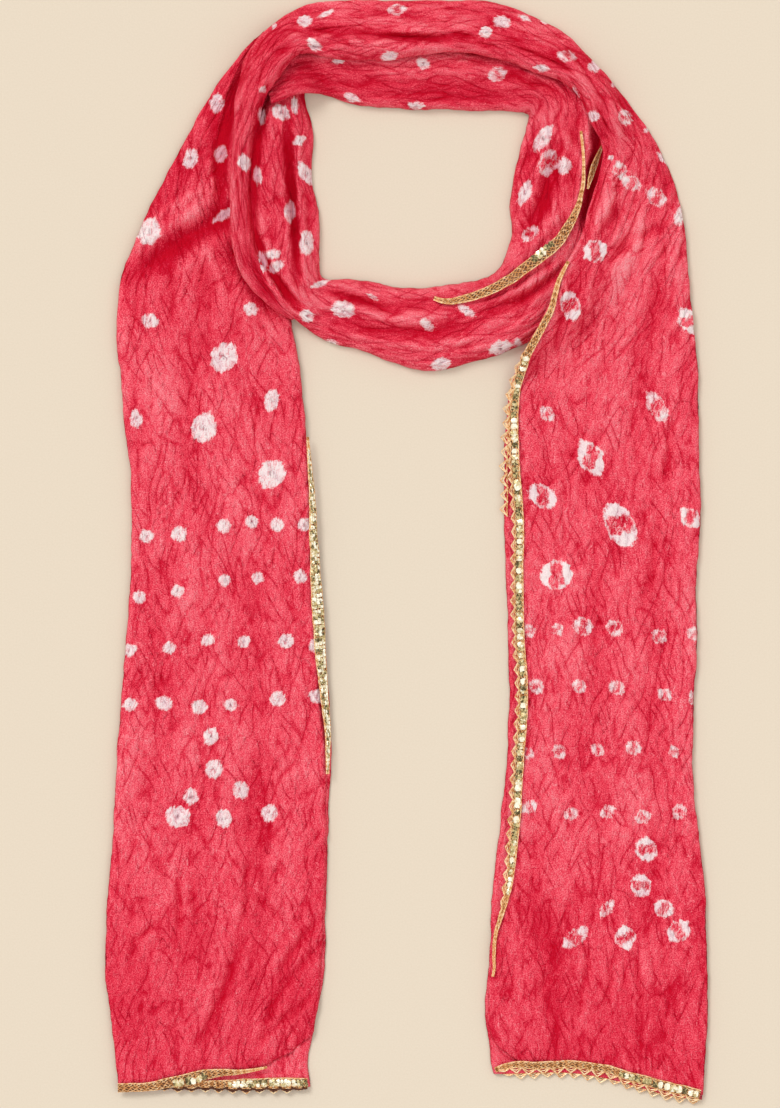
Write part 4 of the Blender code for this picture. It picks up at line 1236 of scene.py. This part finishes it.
def gota(heap, name, path, lies_on, materials, cloth_side, outer_side, lift, widths, picot=0.0,
         foil=((-0.08, 101),), least=0.62, bare=0.0, web=(0.52, 0.36, 0.2)):
    """A run of lace along a path: tape, edge cords, a wavy braid, foil sequins and pointed picots.

    cloth_side and outer_side are its edges' distances to the path's right, and lift its height above
    what it lies on.  widths are shares of that width at even steps along it, and picot is how far its
    points stand out, or 0.  foil gives each row of sequins its place across the tape and its seed, and
    least the share of the width that carries them.  bare is the length at its start without points and
    sequins, and web the inner cord of each point, as in POINT_CORD.
    """
    rows = np.array(path, dtype=float)
    along = path_distance(rows)
    picots = max(2, round(along[-1] / PICOT_PITCH))
    at = np.linspace(0, along[-1], picots * POINT_STEPS + 1)
    centre = curve_through(rows, along, at)
    forward = np.gradient(centre, axis=0)
    forward /= np.hypot(forward[:, 0], forward[:, 1])[:, None]
    right = np.stack((forward[:, 1], -forward[:, 0]), axis=-1)
    share = np.interp(at, np.linspace(0, along[-1], len(widths)), widths)
    middle, half = (cloth_side + outer_side) / 2, (outer_side - cloth_side) / 2
    sway = 0.5 * wander(at, 23.0, 0.5, 90) + 0.3 * wander(at, 7.0, 4.5, 91)
    surface = heap.under(lies_on, *LACE_SNUG) if lies_on else np.zeros((MAP_SIZE_Y, MAP_SIZE_X))
    out = math.copysign(1.0, picot or outer_side - cloth_side)
    lace = Lace()

    def cord(offset, rise, radius, sides, lay, tone, droop=0.0):
        """A cord beside the path's middle, with painted glints along it."""
        line = lace_line(surface, centre, right, sway + offset, lift + rise, droop)
        rings, ply, distance = tube_rings(line, radius, sides, lay)
        painted_glints = 0.6 * wander(distance, 2.3, tone, 94)[:, None]
        lace.tube(rings, THREAD, ply + tone + painted_glints)

    if half:
        top = [(sway + middle + across * half * share, lift + TAPE_THICKNESS + rise)
               for across, rise in TAPE_PROFILE]
        top = [lace_line(surface, centre, right, *place) for place in top]
        low = [points - np.array((0.0, 0.0, TAPE_THICKNESS)) for points in top[::-1]]
        tone = 0.04 + 0.5 * np.maximum(wander(at, 1.7, 0, 92), -0.1)[:, None]
        lace.tube(np.stack(top + low, axis=1), THREAD, tone)
        cord(middle - 0.94 * half * share, rise=0.7, radius=0.42, sides=6, lay=1.8, tone=0.15)
        cord(middle + 0.94 * half * share, rise=0.65, radius=0.36, sides=5, lay=1.8, tone=0.05)
        for row, (across, turn, rise, tone) in enumerate(BRAID):
            wave = np.sin(2 * np.pi * at / 3.8 + turn) * (0.17 + 0.08 * wander(at, 7.0, row, 98))
            cord(middle + (across + wave) * half * share, rise, radius=0.28, sides=4, lay=2.4, tone=tone)
        wide = np.abs(half * share)
        allowed = (wide > least * abs(half) * share.max()) & (at >= bare)
        for across, seed in foil:
            line = lace_line(surface, centre, right, sway + middle + across * half * share, lift + 0.9)
            add_sequins(lace, line, right, at, wide, allowed, seed, len(foil))

    if picot:
        step = np.abs((at / along[-1] * picots) % 1.0 - 0.5) * 2
        size = 0.9 + 0.12 * wander(at, PICOT_PITCH, 0.5, 95)
        size = size * eased(share, 0.3, 0.7) * eased(at, bare - 1.0, bare + 12.0)
        edge = middle + (outer_side - middle) * (share if half else 1.0)
        for reach, radius, tone in (POINT_CORD, web):
            point = edge + picot * reach * size * (1 - step) ** 0.9 - out * 0.3
            cord(point, 0.45, radius, sides=5, lay=2.0, tone=tone, droop=0.25 * (1 - step))
        if not half:
            cord(outer_side + 0 * at, rise=0.55, radius=0.4, sides=5, lay=1.8, tone=0.0)
    return lace.write(name, materials)


# Corners of a sequin's rim, clockwise from its front: shares of its length and of its breadth.
RIM = ((1, 0.75), (0.2, 1.05), (-0.8, 0.9), (-1.1, 0.1), (-0.9, -0.8), (0.1, -1.05), (0.85, -0.9), (1.1, 0.1))


def add_sequins(lace, line, right, at, wide, allowed, seed, rows):
    """Foil sequins in a row, each folded to a low pyramid of eight facets, with its own turn and tilt.

    line runs through their middles, wide is half the tape's width and allowed says where they may lie.
    Each facet's tone is a painted reflection, pale on some and dark on others.  The sequins' sizes and gaps
    vary.
    """
    pitch = SEQUIN_PITCH / (1.0 if rows == 1 else 1.5)
    count = max(2, round(at[-1] / pitch))
    number = np.arange(count)
    chance = [lattice(number, 0 * number, seed + k) for k in range(7)]
    place = np.clip((number + 0.5 + 0.5 * (chance[4] - 0.5)) / count, 0, 1) * (len(at) - 1)
    k = place.astype(int)
    kept = allowed[k]
    k, chance, count = k[kept], [c[kept] for c in chance], int(kept.sum())
    forward = np.stack((-right[k, 1], right[k, 0], 0 * k), axis=-1)
    sideways = np.concatenate((right[k], 0 * k[:, None]), axis=1)
    length = pitch * (0.38 + 0.20 * chance[5])
    breadth = wide[k] * (0.72 if rows == 1 else 0.40)
    turn = 0.7 * (chance[6] - 0.5)
    tilt_f, tilt_s = 0.4 * (chance[0] - 0.5), 0.5 * (chance[1] - 0.5)
    points = []
    for (f0, s0), (f1, s1) in zip(RIM, RIM[1:] + RIM[:1]):
        for f, s, rise in ((f0, s0, 0.0), (f1, s1, 0.0), (0.0, 0.0, 0.3)):
            f, s = f * np.cos(turn) - s * np.sin(turn), s * np.cos(turn) + f * np.sin(turn)
            z = length * tilt_f * f + breadth * tilt_s * s + rise
            points.append(line[k] + (length * f)[:, None] * forward + (breadth * s)[:, None] * sideways
                          + np.stack((0 * z, 0 * z, z), axis=-1))
    points = np.stack(points, axis=1)
    faces = [(24 * j + 3 * facet, 24 * j + 3 * facet + 1, 24 * j + 3 * facet + 2)
             for j in range(count) for facet in range(8)]
    # Painted reflections: a pale or dark tone for each facet, and for each sequin as a whole.
    painted_reflection = lattice(*np.meshgrid(np.arange(count), np.arange(8), indexing="ij"), seed + 8)
    painted_reflection = np.clip(0.7 * painted_reflection + 1.3 * (chance[2][:, None] - 0.3), 0, 1)
    lace.add(points, faces, FOIL, np.repeat(painted_reflection, 3, axis=1))


# ---------------------------------------------------------------------------------------------------------
# Materials

# Colours of the dye from its deepest to its palest, and of cloth that took no dye over the same levels.  The
# levels carry painted shade in hollows and creases and painted highlights on ridges, besides the dye's own
# changes.
DYE_AND_SHADE_STOPS = ((0.0, "#C40020"), (0.22, "#CC0E32"), (0.45, "#E63850"), (0.62, "#F6586C"), (1.0, "#FF9CA6"))
BARE_AND_SHADE_STOPS = ((0.0, "#E6ACBC"), (0.3, "#F0CCD6"), (0.5, "#F8E2E7"), (1.0, "#FFF6F4"))
KNOT = "#5E2440"     # in the pit of a dot, where the thread was tied
SHEEN = "#FF7A86"
FLOOR_STOPS = ((0.3, "#DED2C0"), (0.7, "#E2D6C5"))
ROOM_COLOUR = "#F4EFE8"


def srgb(code):
    """Linear colour of an sRGB hex value."""
    parts = [int(code[k:k + 2], 16) / 255 for k in (1, 3, 5)]
    return (*(c / 12.92 if c <= 0.04045 else ((c + 0.055) / 1.055) ** 2.4 for c in parts), 1.0)


def add(tree, kind, inputs=None, stops=None, **settings):
    """Add a node with its settings, its inputs as values or links, and its ramp's stops."""
    made = tree.nodes.new("ShaderNode" + kind)
    for label, value in settings.items():
        setattr(made, label, value)
    for label, value in (inputs or {}).items():
        socket = made.inputs[label]
        if isinstance(value, bpy.types.NodeSocket):
            tree.links.new(value, socket)
        else:
            socket.default_value = value
    if stops:
        elements = made.color_ramp.elements
        while len(elements) < len(stops):
            elements.new(0.5)
        for element, (position, colour) in zip(elements, stops):
            element.position, element.color = position, srgb(colour)
    return made.outputs


def maths(tree, operation, *values):
    """The result of a maths node."""
    return add(tree, "Math", dict(enumerate(values)), operation=operation)[0]


def ranged(tree, value, low, high, first=0.0, last=1.0):
    """A value brought from between low and high to between first and last, and kept there."""
    return add(tree, "MapRange", {"Value": value, 1: low, 2: high, 3: first, 4: last}, clamp=True)[0]


def flat_noise(tree, vector, scale, detail=1.0, **more):
    """Noise on flat coordinates."""
    inputs = {"Vector": vector, "Scale": scale, "Detail": detail, **more}
    return add(tree, "TexNoise", inputs, noise_dimensions="2D")["Fac"]


def sized(tree, vector, size_x, size_y, turn=0.0):
    """Flat coordinates turned, and counted in steps of the given sizes in metres."""
    inputs = {"Vector": vector, "Rotation": (0.0, 0.0, turn), "Scale": (size_x, size_y, 1.0)}
    return add(tree, "Mapping", inputs, vector_type="TEXTURE")["Vector"]


def new_material(name, **settings):
    """A named material, its node tree and its shader, with the shader's settings."""
    made = bpy.data.materials.new(name)
    made.use_nodes = True
    shader = made.node_tree.nodes["Principled BSDF"]
    for label, value in settings.items():
        shader.inputs[label.replace("_", " ")].default_value = value
    return made, made.node_tree, shader


def crushed_silk():
    """Crushed silk: thin plain weave, wrung when wet, tie-dyed by hand.

    It gives the eye a soft gloss on many small facets and white dots with ragged, pinkish edges.  Its colour
    also carries painted highlights on the ridges and painted shade, as thin deep red lines, in the creases.
    """
    made, tree, shader = new_material(
        "crushed silk", Roughness=0.55, Specular_IOR_Level=0.06, Sheen_Weight=0.03, Sheen_Roughness=0.45,
        Sheen_Tint=srgb(SHEEN))
    coordinates = add(tree, "TexCoord")
    cloth = coordinates["UV"]

    def attribute(label):
        """A value that the mesh carries at each point."""
        return add(tree, "Attribute", attribute_name=label)["Fac"]

    def patches(scale, low, high, moved=0.0):
        """Soft patches from 0 to 1, about 1 / scale metres apart."""
        place = add(tree, "VectorMath", {0: cloth, 1: (moved, moved, 0.0)}, operation="ADD")["Vector"]
        return ranged(tree, flat_noise(tree, place, scale), low, high)

    def line(size, half, weight):
        """A thin line, 1 in the middle, along the zeros of a crease net."""
        thin = ranged(tree, maths(tree, "ABSOLUTE", size), half, 0.0)
        return maths(tree, "MULTIPLY", thin, weight)

    def layered(level, *parts):
        """A level with noises and lines added to it, each less its middle and times its weight."""
        for part, weight, middle in parts:
            if middle:
                part = maths(tree, "SUBTRACT", part, middle)
            level = maths(tree, "MULTIPLY_ADD", part, weight, level)
        return level

    # Crease lines, drawn as painted shade and as grooves in the bump: crisp where the cloth was wrung
    # hardest, and broken along their length.
    one = line(attribute("fold_one"), 0.30, patches(62.0, 0.45, 0.56))
    two = line(attribute("fold_two"), 0.28, patches(68.0, 0.46, 0.57, 0.3))
    along = line(attribute("gather"), 0.26, patches(60.0, 0.40, 0.58, 0.7))
    creases = maths(tree, "MAXIMUM", maths(tree, "MAXIMUM", one, two), along)

    # Hair is the finest crumpling.  Crinkles are short creases between the long ones, darkened by painted
    # shade, with a painted highlight on a low ridge beside each.  Streaks are where threads lie closer, and
    # areas are slow changes of the dye.
    hair = flat_noise(tree, sized(tree, cloth, 0.0022, 0.0050, 0.2), 1.0, 2.5, Distortion=1.0)
    crinkles = flat_noise(tree, sized(tree, cloth, 0.0055, 0.0100, -0.15), 1.0, Distortion=1.6)
    crinkles = maths(tree, "SUBTRACT", crinkles, 0.5)
    beside = maths(tree, "SUBTRACT", crinkles, 0.055)
    ridge_highlights = line(beside, 0.045, patches(170.0, 0.42, 0.60, 0.1))
    crinkles = line(crinkles, 0.045, patches(190.0, 0.44, 0.62, 0.5))
    streaks = flat_noise(tree, sized(tree, cloth, 0.0011, 0.0080), 1.0)
    # The weave's threads lie 0.25 mm apart; the grain is drawn at 0.8 mm, as coarse as it needs to show.
    grain = flat_noise(tree, cloth, 1250.0, 2.0, Roughness=0.7)
    areas = add(tree, "TexNoise", {"Vector": coordinates["Object"], "Scale": 15.0, "Detail": 2.0})["Fac"]

    # The level starts from painted shade, darker in hollows and creases and paler on ridges; below, crease
    # lines add painted shade, pale lines beside the crinkles add painted highlights, and grain, streaks and
    # areas add the cloth's own tone.
    level = maths(tree, "MULTIPLY_ADD", attribute("hollow"), 0.16, 0.575)
    level = layered(
        level, (creases, -0.22, 0.0), (crinkles, -0.14, 0.0), (ridge_highlights, 0.20, 0.1), (hair, 0.36, 0.5),
        (grain, 1.15, 0.5), (streaks, 0.18, 0.5), (areas, 0.30, 0.5))
    dye_and_shade = add(tree, "ValToRGB", {"Fac": level}, stops=DYE_AND_SHADE_STOPS)["Color"]
    bare = add(tree, "ValToRGB", {"Fac": level}, stops=BARE_AND_SHADE_STOPS)["Color"]
    knot = maths(tree, "MULTIPLY", ranged(tree, hair, 0.50, 0.60, 1.0, 0.0), attribute("pit"))
    bare = add(tree, "Mix", {0: knot, 6: bare, 7: srgb(KNOT)}, data_type="RGBA")[2]
    white = layered(attribute("white"), (grain, 1.0, 0.5), (hair, 1.9, 0.5), (streaks, 0.4, 0.5))
    undyed = ranged(tree, white, -0.45, 0.65)
    colour = add(tree, "Mix", {0: undyed, 6: dye_and_shade, 7: bare}, data_type="RGBA")[2]
    tree.links.new(colour, shader.inputs["Base Color"])

    relief = layered(
        0.0, (creases, -0.65, 0.0), (crinkles, -0.25, 0.0), (ridge_highlights, 0.22, 0.0), (hair, 0.85, 0.0),
        (grain, 0.70, 0.0), (streaks, 0.2, 0.0))
    bump = add(tree, "Bump", {"Height": relief, "Strength": 0.8, "Distance": 0.0009})["Normal"]
    tree.links.new(bump, shader.inputs["Normal"])
    return made


def gilt(name, stops, roughness, metallic):
    """Gilt lace: tone runs from painted shade between the plies to a painted glint on top of them."""
    made, tree, shader = new_material(name, Roughness=roughness, Metallic=metallic)
    tone = add(tree, "Attribute", attribute_name="tone")["Fac"]
    place = add(tree, "TexCoord")["Object"]
    specks = add(tree, "TexNoise", {"Vector": place, "Scale": 1100.0, "Detail": 1.0})["Fac"]
    tone = maths(tree, "SUBTRACT", maths(tree, "MULTIPLY_ADD", specks, 0.7, tone), 0.35)
    colour = add(tree, "ValToRGB", {"Fac": tone}, stops=stops)["Color"]
    tree.links.new(colour, shader.inputs["Base Color"])
    threads = add(tree, "Bump", {"Height": specks, "Strength": 0.5, "Distance": 0.0003})["Normal"]
    tree.links.new(threads, shader.inputs["Normal"])
    return made


def plain_floor():
    """Matt paper sweep: even and pale, so that the cloth stands out against it."""
    made, tree, shader = new_material("matt paper", Roughness=0.9, Specular_IOR_Level=0.1)
    fibres = add(tree, "TexNoise", {"Vector": add(tree, "TexCoord")["Object"], "Scale": 900.0})["Fac"]
    colour = add(tree, "ValToRGB", {"Fac": fibres}, stops=FLOOR_STOPS)["Color"]
    tree.links.new(colour, shader.inputs["Base Color"])
    return made


# ---------------------------------------------------------------------------------------------------------
# The stole

def between(path, y_high=math.inf, y_low=-math.inf):
    """The part of a path that lies between two heights of y."""
    return [point for point in path if y_low <= point[1] <= y_high]


silk = crushed_silk()
gilt_thread = gilt("gilt thread", ((0.0, "#54260A"), (0.5, "#E69F58"), (1.0, "#FFE7BC")), 0.42, 0.25)
sequin_foil = gilt("gilt sequin foil", ((0.0, "#463A16"), (0.5, "#D6C186"), (1.0, "#FFFCE8")), 0.22, 0.30)
finishes = (gilt_thread, sequin_foil)
heap = Heap()

front_run, over_run, tail_run = RUNS
right_free, left_free = FREE_EDGE["tail_right"], FREE_EDGE["tail_left"]
GATHERED_WIDTH = 62.0     # width that sets the columns of the gathered stretches
BENDS_OPEN = 45.0         # length over which the right tail opens out of the roll
DRAWN_UP = 7.0            # how far the middle of the right tail's lower hem is drawn up
BELOW_THE_BEND = 30       # rows of the right tail before its lower layers begin

# The left tail, with its rows turned round so that they end on the hem.
left_sections, left_at = (rows[::-1] for rows in stretch(tail_run, "tail_left", "tail_left"))
left_lower = lower_layers(
    heap, "left_tail_lower_layers", "tail_left", left_sections, left_at, (), silk, seed=10)
left_edge = [*between(left_free, y_low=-295), (-56.5, -380.0)]
left_hem = [(-40.0, -280.0), *between(left_free, y_high=-280), (-205.0, -348.0)]
left_upper = upper_layers(
    heap, "left_tail_upper_layers", "tail_left", left_sections, left_at, (), (left_edge, left_hem),
    ("tail_left",), silk, seed=10, shades=(-0.8, 0.8))

# The loop round the neck.
front = rolled(
    heap, "loop_sides_and_front", front_run, ("side_right", "front_band", "side_left"), ("tail_left",),
    silk, seed=20, width=GATHERED_WIDTH, before=BEHIND)
loop_lace = gota(
    heap, "gota_on_the_loop", LACE_PATHS["loop"], ("side_right", "front_band"), finishes,
    cloth_side=-2.5, outer_side=3.0, lift=0.2, widths=(0.2, 0.25, 0.4, 1.0, 1.35, 1.2, 1.05, 0.85, 0.4),
    foil=((0.4, 101),), least=0.93)
pocket_lace = gota(
    heap, "gota_in_the_pocket", LACE_PATHS["pocket"], ("side_right",), finishes,
    cloth_side=-2.0, outer_side=2.0, lift=0.2, widths=(0.2, 0.6, 0.9, 0.7, 0.15), foil=())
under = rolled(
    heap, "lower_stretch_behind_the_neck", front_run, ("back_under",), ("side_left", "tail_left"),
    silk, seed=20, width=GATHERED_WIDTH, after=OVERLAP - BEHIND)
over = rolled(
    heap, "outer_roll_and_upper_stretch", over_run, ("side_left_outer", "back_over"),
    ("tail_left", "back_under", "side_right"), silk, seed=50, width=CLOTH_WIDTH, after=OVERLAP)

# The right tail, which runs on from the roll.
right_sections, right_at = stretch(over_run, "tail_right", "tail_right", OVERLAP)
below_the_right_tail = ("side_right", "front_band", "back_under")
right_lower = lower_layers(
    heap, "right_tail_lower_layers", "tail_right", right_sections[BELOW_THE_BEND:],
    right_at[BELOW_THE_BEND:], below_the_right_tail, silk, seed=54, drawn_up=DRAWN_UP)
right_edge = [*between(right_free, y_low=-303), (52.0, -380.0)]
right_hem = [(40.0, -292.0), *between(right_free, y_high=-295), (205.0, -353.0)]
right_upper = upper_layers(
    heap, "right_tail_upper_layers", "tail_right", right_sections, right_at, below_the_right_tail,
    (right_edge, right_hem), ("back_over", "tail_right"), silk, seed=50, shades=(0.7, 0.75),
    grows=(right_at[0] + OVERLAP, right_at[0] + OVERLAP + BENDS_OPEN))

# Lace on the tails' edges, and what shows of the lace on their lower layers.
right_lace = gota(
    heap, "gota_on_the_right_tail", between(right_free, 191, -285), ("tail_right", "front_band"), finishes,
    cloth_side=-4.5, outer_side=1.0, lift=0.2, picot=3.0, bare=64.0,
    widths=(0.25, 0.75, 1, 1, 1, 1, 1, 1, 1, 1, 0.9, 0.4, 0.2))
right_hem_lace = gota(
    heap, "gota_on_the_right_hem", LACE_PATHS["right_hem"], ("tail_right",), finishes,
    cloth_side=-2.6, outer_side=2.2, lift=0.2, picot=4.2,
    widths=(0.6, 0.95, 0.95, 0.95, 1.0, 1.25, 1.3, 1.3), foil=((0.0, 101),), least=0.8)
left_lace = gota(
    heap, "gota_beside_the_left_tail", LACE_PATHS["left_under_edge"], ("tail_left",), finishes,
    cloth_side=2.6, outer_side=-4.4, lift=0.6, widths=(0.15, 0.4, 0.65, 0.85, 1.1, 1, 0.75, 0.5, 0.2),
    foil=((-0.5, 111), (0.05, 131), (0.55, 121)), least=0.2)
left_hem_lace = gota(
    heap, "gota_on_the_left_hem", LACE_PATHS["left_hem"], ("tail_left",), finishes,
    cloth_side=2.6, outer_side=-2.6, lift=0.5, widths=(0.15, 0.45, 0.95, 1.6, 1.2, 1.0, 1.1),
    foil=((0.2, 141),), least=0.8)
inner_edge = [tuple(row) for row in right_sections[:, 0:2] if 14 < row[1] < 118][::8]
right_low_lace = gota(
    heap, "picots_below_the_right_tail", inner_edge, ("tail_right",), finishes,
    cloth_side=-2.2, outer_side=-2.2, lift=0.4, picot=5.2, widths=(1.0, 1.0), web=(0.6, 0.4, 0.5))
hem_share = np.linspace(0.03, 0.99, 14)
hem_x, hem_y = plan(right_sections[-1:], hem_share[None, :])
right_low_hem = gota(
    heap, "picots_below_the_right_hem", list(zip(hem_x[0], hem_y[0] + DRAWN_UP * hem_rise(hem_share))), (),
    finishes, cloth_side=0.0, outer_side=0.0, lift=1.6, picot=4.0, widths=(1.0, 1.0))
hem_x, hem_y = plan(left_sections[-1:], np.linspace(0.01, 0.8, 12)[None, :])
left_low_hem = gota(
    heap, "gota_below_the_left_hem", list(zip(hem_x[0], hem_y[0])), (), finishes,
    cloth_side=5.6, outer_side=-0.9, lift=3.4, picot=-3.8, widths=(1.0, 1.05, 1.0, 1.0, 0.75, 0.6, 0.6, 0.5),
    foil=((-0.35, 151), (0.3, 161)), least=0.8, web=(0.55, 1.0, -1.2))

# ---------------------------------------------------------------------------------------------------------
# What each piece rides on, replaces and was cut from

# Columns: piece, nodes, size laid flat, how the cloth is held, what it rests on, its lace.
PIECES = (
    (left_lower, ("tail_left",), (0.28, 0.68), "folded", ["paper_floor"], ()),
    (left_upper, ("tail_left",), (0.28, 0.68), "folded", [left_lower],
     (left_lace, left_hem_lace, left_low_hem)),
    (front, ("back_under", "side_right", "front_band", "side_left"), (0.13, 0.48), "gathered",
     ["paper_floor", left_upper], (loop_lace, pocket_lace)),
    (under, ("back_under",), (0.1, 0.15), "gathered", [left_upper, front], ()),
    (over, ("side_left_outer", "back_over"), (0.09, 0.43), "gathered", [left_upper, under, front], ()),
    (right_lower, ("tail_right",), (0.28, 0.55), "folded", ["paper_floor", front], (right_low_lace,)),
    (right_upper, ("tail_right",), (0.28, 0.6), "folded", [right_lower],
     (right_lace, right_hem_lace, right_low_hem)),
)
for piece, nodes, flat, held, rests_on, trims in PIECES:
    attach(piece, "root")
    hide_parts(*nodes)

LACES = (
    (loop_lace, "lace_loop"),
    (pocket_lace, "lace_loop"),
    (right_lace, "lace_right_upper"),
    (right_hem_lace, "lace_right_hem"),
    (right_low_lace, "lace_right_under"),
    (right_low_hem, "lace_right_hem_under"),
    (left_lace, "lace_left_edge"),
    (left_hem_lace, "lace_left_hem"),
    (left_low_hem, "lace_left_hem_under"),
)
for piece, node in LACES:
    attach(piece, "root")
    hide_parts(node)

# ---------------------------------------------------------------------------------------------------------
# Floor, light and camera

# The lights.  Columns: name, turn from the x axis, height above the floor and breadth in degrees, strength.
LIGHTS = (
    ("window", 130.0, 48.0, 22.0, 1.22),
    ("fill", -40.0, 60.0, 60.0, 0.44),
)
ROOM_STRENGTH = 0.80
FLOOR_HALF = 40.0                       # metres, so that no horizon shows
PIXEL = 0.65                            # millimetres on the floor for each pixel
PIXELS_HIGH = 1108                      # height of the frame, which is 780 pixels wide
LOOKS_AT = (-10.8, 0.06)                # x and y of what lies in the middle of the frame
LENS, SENSOR = 300.0, 36.0


def studio():
    """A wide floor, one large soft light from the upper left, a fill from the right, and a pale room."""
    half = FLOOR_HALF
    mesh = bpy.data.meshes.new("paper_floor")
    corners = [(-half, -half, 0), (half, -half, 0), (half, half, 0), (-half, half, 0)]
    mesh.from_pydata(corners, [], [(0, 1, 2, 3)])
    mesh.materials.append(plain_floor())
    floor = linked("paper_floor", mesh)

    for name, turn, height, breadth, strength in LIGHTS:
        lamp = bpy.data.lights.new(name, "SUN")
        lamp.energy, lamp.angle = strength, math.radians(breadth)
        linked(name, lamp).rotation_euler = (math.radians(90.0 - height), 0.0, math.radians(turn + 90.0))

    world = bpy.data.worlds.new("pale room")
    world.use_nodes = True
    room = world.node_tree.nodes["Background"].inputs
    room["Color"].default_value = srgb(ROOM_COLOUR)
    room["Strength"].default_value = ROOM_STRENGTH
    bpy.context.scene.world = world


def straight_down_camera():
    """A long lens that looks straight down, from where the frame is as high as it should be."""
    camera = bpy.data.cameras.new("camera")
    camera.lens, camera.sensor_width, camera.clip_end = LENS, SENSOR, 100.0
    holder = linked("camera", camera)
    height = PIXELS_HIGH * PIXEL * LENS / SENSOR + 6.0
    holder.location = (LOOKS_AT[0] * MM, LOOKS_AT[1] * MM, height * MM)
    bpy.context.scene.camera = holder


studio()
straight_down_camera()
bpy.context.scene.view_settings.view_transform = "Standard"
